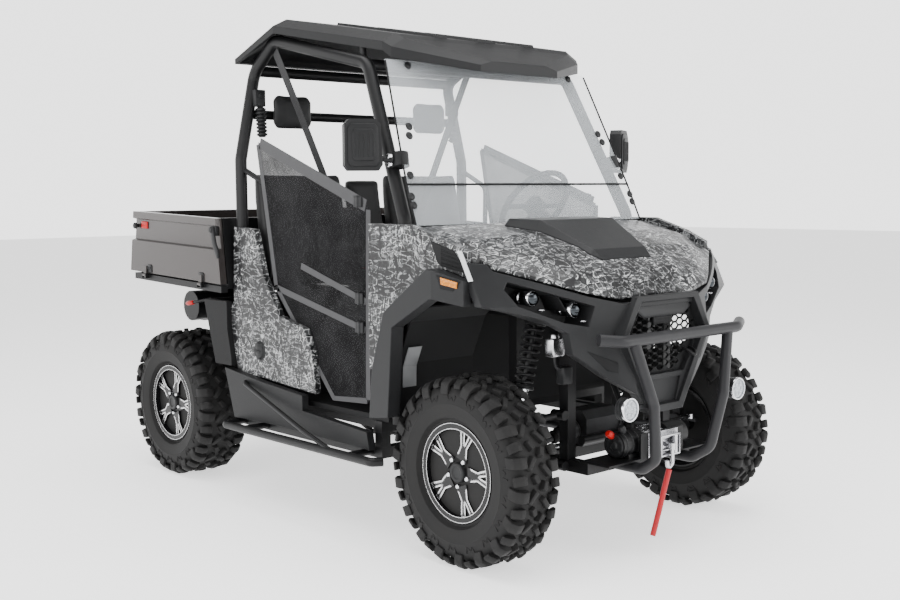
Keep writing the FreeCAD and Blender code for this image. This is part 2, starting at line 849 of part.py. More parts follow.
def both_sides(right):
    """A closed outline from its right half, given from the middle of the top down to the bottom."""
    return right + [(-side, level) for side, level in reversed(right)]


MESH_OUTLINE = [(-154, 852), (-208, 764), (-108, 616)]
LAMP_OUTLINE = [(-300, 862), (-560, 950), (-575, 925), (-545, 872), (-400, 812), (-320, 795)]
POD_OUTLINE = [(-288, 884), (-592, 976), (-600, 962), (-585, 915), (-556, 861), (-400, 800), (-308, 783)]


def make_grille_rim():
    """The raised hexagonal border about the mesh and the chin."""
    outer = prism("rim_block", "YZ", 1196, 1236, both_sides([(-166, 889), (-236, 762), (-84, 487)]))
    return cut("grille_rim", outer, [
        prism("rim_inside", "YZ", 1190, 1240, both_sides([(-143, 870), (-209, 764), (-64, 512)])),
        box("rim_step", 1190, 1214, -240, 240, 862, 900)])


def make_nose():
    back = -size.nose_wall
    sides = (664, NOSE_BENDS[1][0], NOSE_BENDS[0][0])
    sections = []
    for level in (470,) + NOSE_LEVELS:
        plan = [(nose_face(side, level), -side) for side in sides]
        plan += [(face, -side) for face, side in reversed(plan)]
        sections.append((level, plan + [(face + back, side) for face, side in reversed(plan)]))
    front_view = prism("nose_outline", "YZ", 850, 1300, both_sides([
        (-200, 868), (-325, 896), (-400, 921), (-592, 984), (-606, 1008), (-650, 1012), (-660, 940), (-655, 872),
        (-471, 826), (-385, 775), (-372, 705), (-255, 620), (-150, 560), (-88, 487)]))
    face = common("nose_face", loft("nose_wall", "XY", sections), front_view)
    pod = common("lamp_pod", prism("pod_view", "YZ", 850, 1300, POD_OUTLINE),
                 nose_band("pod_band", 284, 612, back - 90, back + 6))
    lamp_opening = common("lamp_opening", prism("lamp_view", "YZ", 850, 1300, LAMP_OUTLINE),
                          nose_band("lamp_band", 280, 640, back - 82, 20))
    openings = [
        prism("grille_opening", "YZ", 1100, 1300, both_sides(MESH_OUTLINE)),
        prism("chin_recess", "YZ", 1212, 1222.5, both_sides([(-90, 598), (-62, 514)])),
    ]
    brackets = []
    for piece in make_hood_bracket():
        brackets += with_twin("hood_hinge", piece)
    shell = fused("nose_shell", [face] + with_twin("lamp_pod", pod))
    return fused("nose_fascia", [
        cut("nose_open", shell, openings + with_twin("lamp_opening", lamp_opening)), make_grille_rim()] + brackets)


def make_roof(cage):
    """A pressed shell: a raised deck inside a turned-down rim, narrowing to a pointed front."""
    wall = float(size.roof_wall)
    def section(half, low, edge, deck):
        right = [(-half, low), (-half, edge), (-half + 64, deck)]
        return right + [(-side, level) for side, level in reversed(right)]
    block = loft("roof_block", "YZ", [
        (-517, section(600, 1770, 1790, 1806)), (-240, section(596, 1866, 1895, 1926)),
        (345, section(520, 1752, 1785, 1818)), (372, section(500, 1726, 1765, 1800)),
        (530, section(205, 1680, 1705, 1722))])
    hollow = loft("roof_hollow", "YZ", [
        (-517 + wall, section(600 - wall, 1740, 1795 - wall, 1812 - wall)),
        (-240, section(596 - wall, 1830, 1895 - wall, 1926 - wall)),
        (345, section(520 - wall, 1720, 1785 - wall, 1818 - wall)),
        (372, section(480, 1700, 1765 - wall, 1800 - wall)),
        (530 - wall, section(208, 1650, 1710 - wall, 1728 - wall))])
    parts = [cut("roof_shell", block, [hollow])]
    for middle in (-235, 0, 235):
        half = 80 if middle == 0 else 52
        parts.append(loft("roof_rib", "YZ", [
            (-245, [(middle - half, 1915), (middle - half + 12, 1936), (middle + half - 12, 1936), (middle + half, 1915)]),
            (345, [(middle - half * 0.7, 1808), (middle - half * 0.7 + 12, 1829),
                   (middle + half * 0.7 - 12, 1829), (middle + half * 0.7, 1808)])]))
    return cut("roof", fused("roof_whole", parts), [cage])


def make_pane(name, outline):
    right = [(-side, level) for side, level in outline]
    body = prism(name, "YZ", 0, size.glass_wall, outline + right[::-1])
    body.Placement.Rotation = Rotation(Vector(0, 1, 0), -float(size.glass_lean))
    bind(body, "Placement.Rotation.Angle", size.glass_lean)
    body.Placement.Rotation.Axis = Vector(0, -1, 0)
    return place(body, 620, 0, 1114)


# Cargo bed: drawn level about its hinge, then pitched


def in_bed(thing):
    thing.Placement = Placement(
        vector(size.bed_hinge_x, 0, size.bed_hinge_z), Rotation(Vector(0, 1, 0), float(size.bed_pitch)))
    bind(thing, "Placement.Base.x", size.bed_hinge_x)
    bind(thing, "Placement.Base.z", size.bed_hinge_z)
    bind(thing, "Placement.Rotation.Angle", size.bed_pitch)
    return thing


BED_REAR = -size.bed_behind
BED_FRONT = BED_REAR + size.bed_length
BED_SIDE = size.bed_width / 2
BED_INNER = BED_SIDE - size.gate_wall - 5
GATE_TOP = size.deck_high + size.gate_high
GATE_PIN = (-BED_SIDE - 8, size.deck_high - 10)
GATE_HINGES = (BED_REAR + 150, BED_FRONT - 150)
TAIL_PIN = (BED_REAR, size.deck_high - 7)
TAIL_HINGES = (-480, -60)


def rear_edge(level, step=0):
    """The tailgate leans forwards as it rises."""
    return BED_REAR + step + (length(level) - size.deck_high) * size.rear_lean / size.gate_high


def front_edge(level, step=0):
    """The head wall leans backwards as it rises."""
    return BED_FRONT + step - (length(level) - size.deck_high) * size.front_lean / size.gate_high


def make_tub():
    gate = size.gate_wall
    top = GATE_TOP
    low = size.deck_high
    deck = prism("deck", "XZ", -BED_INNER, BED_INNER, [
        (rear_edge(low, gate + 6), low - size.deck_wall), (BED_FRONT, low - size.deck_wall),
        (BED_FRONT, low), (rear_edge(low, gate + 6), low)])
    wall = prism("head_wall", "XZ", -BED_INNER, BED_INNER, [
        (front_edge(low, -22), low), (front_edge(low), low), (front_edge(top), top), (front_edge(top, -22), top),
        (front_edge(low, -22), low + 14)])
    side_rail = box(
        "deck_rail", BED_REAR + gate + 6, BED_FRONT, -BED_SIDE + 3, -BED_INNER, size.deck_high - 35, size.deck_high - 8)
    runner = box("runner", -20, BED_FRONT - 40, -214, -188, 12, size.deck_high - size.deck_wall)
    ear = cut("ear_bored", box("ear", -24, 24, -214, -188, -24, 40), [
        cylinder("ear_bore", "Y", 0, -220, 0, size.pin_radius + size.pin_clearance, 60)])
    parts = [deck, wall]
    for name, thing in (("deck_rail", side_rail), ("runner", runner), ("ear", ear)):
        parts += with_twin(name, thing)
    side_pin, level = GATE_PIN
    for place_along in GATE_HINGES:
        for step in (-19, 13):
            parts += with_twin("gate_bracket", box(
                "gate_bracket", place_along + step, place_along + step + 6, side_pin - 7, -BED_SIDE + 4,
                level - 14, level + 7))
        parts += with_twin("gate_pin", cylinder(
            "gate_pin", "X", place_along - 19, side_pin, level, size.gate_pin, 38))
    along_pin, level = TAIL_PIN
    for place_across in TAIL_HINGES:
        for step in (-19, 13):
            parts += with_twin("tail_bracket", box(
                "tail_bracket", along_pin - 5, rear_edge(low, gate + 8), place_across + step, place_across + step + 6,
                low - size.deck_wall, level + 3.6))
        parts += with_twin("tail_pin", cylinder(
            "tail_pin", "Y", along_pin, place_across - 19, level, size.gate_pin, 38))
    return in_bed(fused("bed_tub", parts))


def make_side_gate():
    high = GATE_TOP
    low = size.deck_high
    outer = -BED_SIDE
    inner = -BED_SIDE + size.gate_wall
    section = [
        (inner, low), (outer, low), (outer, low + 140), (outer + 18, low + 146),
        (outer + 18, high - 36), (outer, high - 30), (outer, high), (inner, high)]
    body = prism("side_gate_panel", "YZ", BED_REAR, BED_FRONT, section)
    pocket(body, "XZ", outer - 1, inner + 1, [
        (BED_REAR - 1, low - 1), (rear_edge(low), low - 1), (rear_edge(low), low),
        (rear_edge(high), high), (rear_edge(high), high + 1), (BED_REAR - 1, high + 1)])
    pocket(body, "XZ", outer - 1, inner + 1, [
        (BED_FRONT + 1, low - 1), (front_edge(low), low - 1), (front_edge(low), low),
        (front_edge(high), high), (front_edge(high), high + 1), (BED_FRONT + 1, high + 1)])
    side_pin, level = GATE_PIN
    parts = [body]
    for place_along in GATE_HINGES:
        eye = fused("gate_eye", [
            cylinder("eye", "X", place_along - 12, side_pin, level, 8, 24),
            box("eye_strap", place_along - 12, place_along + 12, side_pin - 1, outer, level, level + 40)])
        parts.append(cut("gate_eye_bored", eye, [cylinder(
            "eye_bore", "X", place_along - 13, side_pin, level, size.gate_pin + size.pin_clearance, 26)]))
    return in_bed(fused("gate_right", parts))


def make_tailgate():
    high = GATE_TOP
    low = size.deck_high
    step = low + 140
    section = [
        (rear_edge(low, size.gate_wall), low), (rear_edge(low), low), (rear_edge(step), step),
        (rear_edge(step, 16), step + 6), (rear_edge(high - 36, 16), high - 36), (rear_edge(high - 30), high - 30),
        (rear_edge(high), high), (rear_edge(high, size.gate_wall), high)]
    parts = [prism("gate_panel", "XZ", -BED_INNER, BED_INNER, section)]
    along_pin, level = TAIL_PIN
    for place_across in TAIL_HINGES:
        eye = cut("tail_eye", cylinder("eye", "Y", along_pin, place_across - 12, level, 7.5, 24), [cylinder(
            "eye_bore", "Y", along_pin, place_across - 13, level, size.gate_pin + size.pin_clearance, 26)])
        parts += with_twin("tail_eye", eye)
    return in_bed(fused("tailgate", parts))


# Cabin


def make_floor():
    outline = [
        (-440, FLOOR_LOW), (480, FLOOR_LOW), (480, 930), (462, 930), (462, size.floor_top), (-440, size.floor_top)]
    body = prism("floor_pan", "XZ", -575, 575, outline)
    pad(body, "XY", FLOOR_LOW, size.floor_top, [(-440, -612), (470, -612), (470, 612), (-440, 612)])
    return body


def make_dashboard():
    outline = [
        (300, 930), (322, 1050), (420, 1112), (556, 1112), (556, 942), (480, 930), (462, 930), (462, 800),
        (410, 800)]
    return prism("dashboard", "XZ", -560, 560, outline)


WHEEL_HUB = (295, 320, 1180)


def column_point(reach, drop=0):
    """A point on the steering column's axis, ahead of the wheel's hub."""
    lean = math.radians(float(size.column_lean))
    return (
        WHEEL_HUB[0] + math.cos(lean) * reach - math.sin(lean) * drop,
        WHEEL_HUB[1],
        WHEEL_HUB[2] - math.sin(lean) * reach - math.cos(lean) * drop)


def make_steering_wheel():
    grip = faceted_ring("grip", [
        (float(size.wheel_grip) + 13 * math.cos(math.radians(turn)), 13 * math.sin(math.radians(turn)))
        for turn in range(0, 360, 60)], 30)
    parts = [grip, cylinder("boss", "Y", 0, -26, 0, 42, 44)]
    for x_way, z_way in ((1, 0), (-1, 0), (0, -1)):
        parts.append(rod("spoke", (40 * x_way, 0, 40 * z_way), (158 * x_way, 0, 158 * z_way), 10))
    wheel = fused("steering_wheel", parts)
    lean = float(size.column_lean)
    wheel.Placement = Placement(vector(*WHEEL_HUB), Rotation(Vector(0, 1, 0), lean) * Rotation(Vector(0, 0, 1), 90))
    return wheel


def make_column(dash):
    joint = column_point(255)
    bend = (600, 200, 930)
    parts = [
        rod("column", column_point(26.3), joint, 20),
        rod("shaft", joint, bend, 11),
        rod("lower_shaft", bend, (RACK_X, 120, 390), 11),
    ]
    return parts


RACK_X = size.front_axle + 80


def make_rack_housing():
    return fused("rack_housing", [
        cylinder("housing", "Y", RACK_X, -138, size.rack_level, 16, 276),
        cylinder("pinion_case", "Z", RACK_X, 120, size.rack_level - 14, 20, 44),
    ])


def make_rack():
    """The sliding rack with its two tie rods: their outer eyes ride just above the knuckle arms."""
    parts = []
    for side in (-1, 1):
        end = 500 * side
        parts.append(fused("tie_rod_end", [
            rod("tie_rod", (RACK_X, 215 * side, size.rack_level), (RACK_X, end, size.rack_level + 6), 8),
            cylinder("rod_eye", "Z", RACK_X, end - 4 * side, size.rack_level - 3.5, 14, 18),
            cylinder("bellows", "Y", RACK_X, min(184 * side, 240 * side), size.rack_level, 13, 56),
        ]))
    return together("steering_rack", parts)


def make_engine():
    return box("engine", -880, -530, -RAIL_INNER + 6, RAIL_INNER - 6, RAIL_TOP, 700)


def make_axle_drives():
    parts = []
    for axle, bearing in ((size.front_axle, 462), (REAR_AXLE, 440)):
        parts.append(prism("gear_case", "XZ", -88, 88, [
            (axle - 60, RAIL_TOP + 30), (axle - 40, RAIL_TOP), (axle + 40, RAIL_TOP), (axle + 60, RAIL_TOP + 30),
            (axle + 60, RAIL_TOP + 100), (axle + 36, RAIL_TOP + 130), (axle - 36, RAIL_TOP + 130),
            (axle - 60, RAIL_TOP + 100)]))
        inner = (axle, -88, 390)
        outer = (axle, -bearing, size.tyre_radius + 4)
        way = (vector(*outer) - vector(*inner))
        def along(share):
            return tuple(vector(*inner) + way * share)
        half = fused("half_shaft", [
            rod("shaft", inner, outer, 13),
            rod("inner_boot", along(0.02), along(0.3), 38, 20),
            rod("outer_boot", along(0.68), along(0.94), 20, 36),
        ])
        parts += with_twin("half_shaft", half)
    front_case = size.front_axle - 60
    parts.append(cylinder("prop_shaft", "X", -530, 0, 362, 14, front_case + 530))
    parts.append(cylinder("rear_shaft", "X", REAR_AXLE + 60, 0, 362, 20, -880 - (REAR_AXLE + 60)))
    return fused("axle_drives", parts)


def make_seat_base():
    outline = [(-430, size.floor_top), (-142, size.floor_top), (-142, 735), (-430, 735)]
    return prism("seat_base", "XZ", -590, 590, outline)


def make_cushions():
    gap = size.seat_gap
    outline = [
        (-428, 735 + gap), (-112, 735 + gap), (-96, 760), (-106, 812), (-160, 852), (-340, 838), (-428, 836)]
    right = prism("cushion", "XZ", -570, -112, outline)
    middle = prism("middle_cushion", "XZ", -88, 88, outline)
    return together("seat_cushions", with_twin("cushion", right) + [middle])


def make_seat_backs():
    outline = [(-425, 836.4), (-340, 838.3), (-392, 1090), (-436, 1320), (-452, 1335), (-486, 1330), (-486, 1200), (-425, 900)]
    right = prism("seat_back", "XZ", -565, -112, outline)
    middle = prism("middle_back", "XZ", -96, 96, [(u, min(v, 1312)) for u, v in outline])
    return together("seat_backs", with_twin("seat_back", right) + [middle])


def make_headrests():
    bar = size.pillar_rear - 5
    block = prism("headrest_block", "YZ", bar - 4, bar + 60, [
        (-480, 1528), (-458, 1500), (-300, 1500), (-276, 1528), (-276, 1628), (-300, 1655), (-458, 1655), (-480, 1628)])
    groove = cylinder("bar_groove", "Y", bar, -500, 1565, size.cage_tube - 5 + size.seat_gap, 300)
    return together("headrests", with_twin("headrest", cut("headrest", block, [groove])))


def make_muffler():
    return together("muffler", [
        cylinder("can", "Y", -1065, -520, 735, 68, 520 - RAIL_OUTER),
    ])


# Outside fittings


def make_liner():
    outline = [(548, 455), (556, 640), (625, 795), (700, 850), (700, 856), (620, 802), (550, 642), (542, 455)]
    return prism("liner", "XZ", -636, -RAIL_OUTER - size.seat_gap, outline)


def make_step_rail():
    rail = tube("step_rail", [
        (-470, -size.sill_side - 20, 305), (-436, -738, 305), (526, -738, 305), (545, -702, 305)], 16, 22)
    brace = tube("step_brace", [(300, -738, 307), (107, -734, 357), (-360, -686, 474), (-392, -660, 481)], 9, 22)
    parts = [rail, brace]
    for x_place in (-300, 380):
        parts.append(cylinder("stay", "Y", x_place, -738, 305, 13, 738 - (size.sill_side + 20)))
    return fused("step_rail", parts)


def make_bumper():
    upright = tube("upright", [
        (1298, -256, 748), (1329, -192, 536), (1306, -150, 348), (1240, -136, 304), (size.frame_front, -136, 304)], 19, 45)
    bar = tube("top_bar", [(1258, -385, 765), (1300, -310, 757), (1300, 310, 757), (1258, 385, 765)], 20, 60)
    lamp_arm = box("lamp_arm", 1296, 1310, -264, -200, 530, 544)
    return fused("bumper", [bar] + with_twin("upright", upright) + with_twin("lamp_arm", lamp_arm))


HEAD_LAMPS = ((1060, 481, 893, 84), (1125, 350, 851, 61))


def make_lamps(nose, bumper):
    parts = []
    for x_place, side, level, deep in HEAD_LAMPS:
        lamp = cylinder("head_lamp", "X", x_place - deep, -side, level, 27, deep)
        parts += with_twin("head_lamp", lamp)
    work = cylinder("work_lamp", "X", 1278, -298, 537, 40, 42)
    tail = box("tail_lamp", size.frame_rear - 12, size.frame_rear + 34, -400, -RAIL_OUTER, 650, 712)
    parts += with_twin("work_lamp", work) + with_twin("tail_lamp", tail)
    return cut("lamps", together("lamp_set", parts), [nose, bumper])


def make_winch():
    level = RAIL_TOP + 6 + 46
    parts = [
        box("winch_plate", 1085, 1214, -RAIL_OUTER, RAIL_OUTER, RAIL_TOP, RAIL_TOP + 6),
        box("fairlead_plate", 1208, 1214, -115, 115, RAIL_TOP, RAIL_TOP + 92),
        cylinder("motor", "Y", 1150, -178, level, 45, 112),
        cylinder("drum", "Y", 1150, -70, level, 26, 140),
        cylinder("gearbox", "Y", 1150, 66, level, 47, 104),
    ]
    foot = box("winch_feet", 1110, 1190, -150, 150, RAIL_TOP + 6, RAIL_TOP + 22)
    return fused("winch", parts + [foot])


def make_fairlead():
    low = RAIL_TOP
    front = 1214
    parts = [box("fairlead_back", front, front + 5, -80, 80, low + 2, low + 90)]
    for level in (low + 6, low + 74):
        parts.append(box("fairlead_shelf", front + 5, front + 34, -58, 58, level, level + 5))
    for side in (-58, 54):
        parts.append(box("fairlead_cheek", front + 5, front + 34, side, side + 4, low + 6, low + 79))
    for side in (-42, 42):
        parts.append(cylinder("roller", "Z", front + 24, side, low + 11, 9, 63))
    for level in (low + 20, low + 65):
        parts.append(cylinder("cross_roller", "Y", front + 9.5, -56, level, 5, 112))
    body = fused("fairlead_frame", parts)
    hook = tube("hook_bend", [
        (front + 44, 0, low + 40), (front + 44, 0, low - 20), (front + 48, -30, low - 34), (front + 48, -34, low - 4)], 7, 12)
    stem = cylinder("hook_eye", "Z", front + 44, 0, low + 30, 12, 22)
    link = cylinder("hook_link", "X", front + 5, 0, low + 44, 8, 40)
    return fused("fairlead", [body, hook, stem, link])


def make_strap():
    return tube("pull_strap", PULL_STRAP, 10, 60)


PULL_STRAP = [(1260, -20, 288.2), (1256, -48, 205), (1250, -66, 135), (1244, -86, 66)]


MIRROR_TURN = 27


def make_mirrors(cage, glass):
    housing = prism("housing", "YZ", -24, 24, [
        (-66, -71), (-52, -89), (54, -89), (68, -68), (62, 72), (46, 89), (-50, 89), (-66, 70)])
    housing.Placement = Placement(vector(436, -688, 1406), Rotation(Vector(0, 0, 1), -MIRROR_TURN))
    clamp = cut("clamp", rod("clamp_ring", (502, -570, 1330), (489, -565, 1378), 32), [cage, glass])
    arm = rod("arm", (496, -600, 1352), (456, -652, 1364), 10)
    mirror = fused("mirror", [housing, clamp, arm])
    return together("mirrors", with_twin("mirror", mirror))


def make_nets():
    outline = [(-225, 869), (146, 470), (357, 480), (373, 1189), (-336, 1446)]
    return together("side_nets", with_twin("net", prism("net", "XZ", -616 + size.seat_gap, -612, outline)))


def strip(name, start, end, width, wall):
    """A flat strap pulled straight between two points, its width level."""
    start = vector(*start)
    run = vector(*end) - start
    level = run.cross(Vector(0, 0, 1)).normalize() * float(width)
    depth = run.cross(level).normalize() * float(wall)
    corners = [start, start + run, start + run + level, start + level, start]
    return solid_feature(name, Part.Face(Part.makePolygon(corners)).extrude(depth))


def make_belts(hoop):
    """Shoulder belts from the hoops to their buckles in the gaps between the cushions."""
    belt = strip("belt_run", (-322, -546, 1838), (-330, -100, 862), 46, 2.5)
    tail = box("belt_tail", -352, -308, -102, -99.5, 735 + size.seat_gap, 870)
    return together("seat_belts", with_twin("belt", cut("belt_fit", fused("belt_whole", [belt, tail]), [hoop])))


HEX_HALF = 20
HEX_HIGH = 9.5
HEX_STEP = (56, 25)


def hexagon(side, level):
    return [(side - HEX_HALF, level), (side - HEX_HALF / 2, level + HEX_HIGH), (side + HEX_HALF / 2, level + HEX_HIGH),
            (side + HEX_HALF, level), (side + HEX_HALF / 2, level - HEX_HIGH), (side - HEX_HALF / 2, level - HEX_HIGH)]


def in_mesh(side, level, border=7):
    """Whether a point lies inside the mesh opening, its border kept solid."""
    corners = MESH_OUTLINE
    if not corners[2][1] + border < level < corners[0][1] - border:
        return False
    upper = level > corners[1][1]
    (u_low, v_low), (u_high, v_high) = (corners[1], corners[0]) if upper else (corners[2], corners[1])
    return abs(side) < -(u_low + (u_high - u_low) * (level - v_low) / (v_high - v_low)) - border


def make_grille():
    """A plate pierced by rows of wide hexagons, every other row moved by half a step."""
    back = size.nose_tip - size.nose_wall
    inset = [(-153.2, 851.4), (-207.1, 764), (-107.5, 616.6)]
    plate = prism("grille", "YZ", back + 6, back + 14, both_sides(inset))
    holes = []
    for row in range(-10, 11):
        level = 734 + row * HEX_STEP[1] / 2
        for column in range(-4, 5):
            shape = hexagon(column * HEX_STEP[0] + (row % 2) * HEX_STEP[0] / 2, level)
            if all(in_mesh(side, height) for side, height in shape):
                holes.append(shape)
    cut_cells(plate, back + 5, back + 15, holes)
    return plate


# Assembly


hoop = make_side_hoop()
both_hoops = with_twin("hoop_tool", hoop)
rails = node("frame_rails", make_rails(both_hoops))
posts = node("frame_posts", make_posts(both_hoops))
members = node("frame_members", make_members([*both_hoops, rails, posts]))
node("hitch_receiver", make_receiver())
frame = together("frame", [rails, posts, members])
cage = node("cage", make_cage(hoop))
make_wheels()
arms = node("suspension_arms", make_suspension(frame))
node("shocks", make_shocks(frame, arms))
knuckle = node("knuckle_right", make_knuckle())
node("knuckle_left", mirrored("knuckle_left", knuckle))
node("steering_rack", make_rack())
node("axle_drives", make_axle_drives())
node("engine", make_engine())
node("muffler", make_muffler())
node("floor_pan", make_floor())
node("seat_base", make_seat_base())
node("seat_cushions", make_cushions())
node("seat_backs", make_seat_backs())
node("headrests", make_headrests())
dash = node("dashboard", make_dashboard())
column = fused("column_parts", make_column(dash) + [make_rack_housing()])
node("steering_column", cut("steering_column", column, [dash]))
node("steering_wheel", make_steering_wheel())
node("side_panels", together("side_panels", with_twin("side_panel", cut("side_panel_fit", make_side_panel(), [hoop]))))
rockers = node("rocker_panels", together("rocker_panels", with_twin("rocker", make_rocker())))
node("step_rails", together("step_rails", with_twin("step_rail", cut("step_rail_fit", make_step_rail(), [frame, rockers]))))
node("rear_guards", together("rear_guards", with_twin("rear_guard", make_rear_guard())))
node("wheel_liners", together("wheel_liners", with_twin("liner", make_liner())))
hood = node("hood", make_hood())
node("hood_scoop", make_scoop(hood))
nose = node("nose_fascia", make_nose())
node("front_fenders", together("front_fenders", with_twin("fender", cut("fender_fit", make_fender(), [nose]))))
node("wheel_arches", together("wheel_arches", with_twin("arch", cut("arch_fit", make_arch(), [nose]))))
node("grille", make_grille())
bumper = node("bumper", make_bumper())
node("lamps", make_lamps(nose, bumper))
node("winch", make_winch())
node("fairlead", make_fairlead())
node("pull_strap", make_strap())
node("roof", make_roof(cage))
glass = node("windshield", together("windshield", [
    make_pane("lower_pane", [(600, 12), (592, 166 - size.seat_gap)]),
    make_pane("upper_pane", [(590, 166), (528, 655)])]))
node("mirrors", make_mirrors(cage, glass))
node("side_nets", make_nets())
node("seat_belts", make_belts(hoop))
node("bed_tub", make_tub())
gate = node("gate_right", make_side_gate())
node("gate_left", mirrored("gate_left", gate))
node("tailgate", make_tailgate())

document.recompute()
for item in document.Objects:
    if "Invalid" in item.State or "Error" in item.State:
        raise RuntimeError(f"{item.Name} did not compute: {item.State}")
for thing in NODES:
    if thing.Shape.isNull() or not thing.Shape.isValid():
        raise RuntimeError(f"{thing.Label} has no valid shape")
for thing in NODES:
    thing.Shape.exportStep(f"parts/{thing.Label}.step")
    print(thing.Label, len(thing.Shape.Solids), round(thing.Shape.Volume / 1e6, 3))
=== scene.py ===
import math

import bpy
from mathutils import Matrix, Vector


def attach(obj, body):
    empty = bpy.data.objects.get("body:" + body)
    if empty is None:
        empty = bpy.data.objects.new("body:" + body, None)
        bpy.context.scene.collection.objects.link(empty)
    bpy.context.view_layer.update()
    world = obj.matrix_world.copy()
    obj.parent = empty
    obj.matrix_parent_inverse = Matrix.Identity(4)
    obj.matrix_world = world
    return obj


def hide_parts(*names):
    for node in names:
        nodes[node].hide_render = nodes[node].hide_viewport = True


# The looks of a utility side by side, in metres: +X forward, +Y to its left, +Z up.

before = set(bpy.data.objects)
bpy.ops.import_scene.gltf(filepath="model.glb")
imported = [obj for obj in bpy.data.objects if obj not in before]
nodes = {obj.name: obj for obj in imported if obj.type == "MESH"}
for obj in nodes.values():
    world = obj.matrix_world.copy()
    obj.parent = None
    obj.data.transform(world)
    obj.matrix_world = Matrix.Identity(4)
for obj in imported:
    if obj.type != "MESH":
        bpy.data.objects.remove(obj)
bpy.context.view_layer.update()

# Each axle's place along the vehicle, its wheels' distance from the middle, and its tyres' width
AXLES = {"front": (0.885, 0.590, 0.200), "rear": (-0.985, 0.585, 0.230)}
AXLE_HIGH = 0.3175


# Camera, floor and light


# Solved from the four wheels in the photograph
CAMERA_PLACE = (3.7435, -3.2562, 1.2393)
CAMERA_TURN = (41.957, 5.163, -0.4626)
FOCAL_PIXELS, PICTURE_PIXELS, SENSOR_MM = 1190.12, 900, 36


def place_camera():
    yaw, pitch, roll = (math.radians(angle) for angle in CAMERA_TURN)
    ahead = Vector((-math.cos(yaw) * math.cos(pitch), math.sin(yaw) * math.cos(pitch), -math.sin(pitch)))
    right = Vector((math.sin(yaw), math.cos(yaw), 0))
    up = right.cross(ahead)
    turned_right = right * math.cos(roll) + up * math.sin(roll)
    turned_up = up * math.cos(roll) - right * math.sin(roll)
    bpy.ops.object.camera_add()
    camera = bpy.context.object
    camera.name = "camera"
    pose = Matrix((turned_right, turned_up, -ahead)).transposed().to_4x4()
    pose.translation = Vector(CAMERA_PLACE)
    camera.matrix_world = pose
    camera.data.lens = SENSOR_MM * FOCAL_PIXELS / PICTURE_PIXELS
    camera.data.dof.use_dof = False
    bpy.context.scene.camera = camera


def add_light(name, place, target, size, power):
    bpy.ops.object.light_add(type="AREA", location=place)
    lamp = bpy.context.object
    lamp.name = name
    lamp.data.shape = "RECTANGLE"
    lamp.data.size, lamp.data.size_y = size
    lamp.data.energy = power
    lamp.rotation_mode = "QUATERNION"
    lamp.rotation_quaternion = (Vector(target) - Vector(place)).to_track_quat("-Z", "Y")


def light_studio():
    """A white sweep all round that is brightest at eye level, and three soft banks."""
    world = bpy.data.worlds.new("studio_air")
    bpy.context.scene.world = world
    world.use_nodes = True
    tree = world.node_tree
    air = tree.nodes["Background"]
    air.inputs["Color"].default_value = (1.0, 1.0, 1.0, 1)
    coordinates = tree.nodes.new("ShaderNodeTexCoord")
    split = tree.nodes.new("ShaderNodeSeparateXYZ")
    sweep = tree.nodes.new("ShaderNodeMapRange")
    sweep.interpolation_type = "SMOOTHSTEP"
    for socket, value in (("From Min", 0.16), ("From Max", 0.55), ("To Min", 2.7), ("To Max", 0.45)):
        sweep.inputs[socket].default_value = value
    tree.links.new(coordinates.outputs["Generated"], split.inputs[0])
    tree.links.new(split.outputs["Z"], sweep.inputs["Value"])
    tree.links.new(sweep.outputs["Result"], air.inputs["Strength"])
    add_light("overhead", (0.5, -0.5, 5.5), (0, 0, 0.5), (6, 5), 420)
    add_light("front_bank", (4.8, 1.8, 2.6), (0.3, 0, 0.8), (3, 3), 110)
    add_light("side_bank", (0.2, -5.2, 2.2), (0, 0, 0.8), (5, 2.5), 110)


# Shader maths


class Value:
    """A shader value: Python's operators on it add Math nodes."""

    def __init__(self, paint, socket):
        self.paint = paint
        self.socket = socket

    def maths(self, operation, *others):
        node = self.paint.tree.nodes.new("ShaderNodeMath")
        node.operation = operation
        for socket, value in zip(node.inputs, (self, *others)):
            self.paint.feed(socket, value)
        return Value(self.paint, node.outputs[0])

    def __add__(self, other):
        return self.maths("ADD", other)

    __radd__ = __add__

    def __mul__(self, other):
        return self.maths("MULTIPLY", other)

    __rmul__ = __mul__

    def __sub__(self, other):
        return self.maths("SUBTRACT", other)

    def __rsub__(self, other):
        return (self * -1) + other

    def __abs__(self):
        return self.maths("ABSOLUTE")

    def __gt__(self, other):
        return self.maths("GREATER_THAN", other)

    def sine(self):
        return self.maths("SINE")

    def ramp(self, low, high):
        """0 below low, 1 above high, and smooth in between."""
        return self.paint.node(
            "MapRange", {"interpolation_type": "SMOOTHSTEP"}, {"Value": self, "From Min": low, "From Max": high})


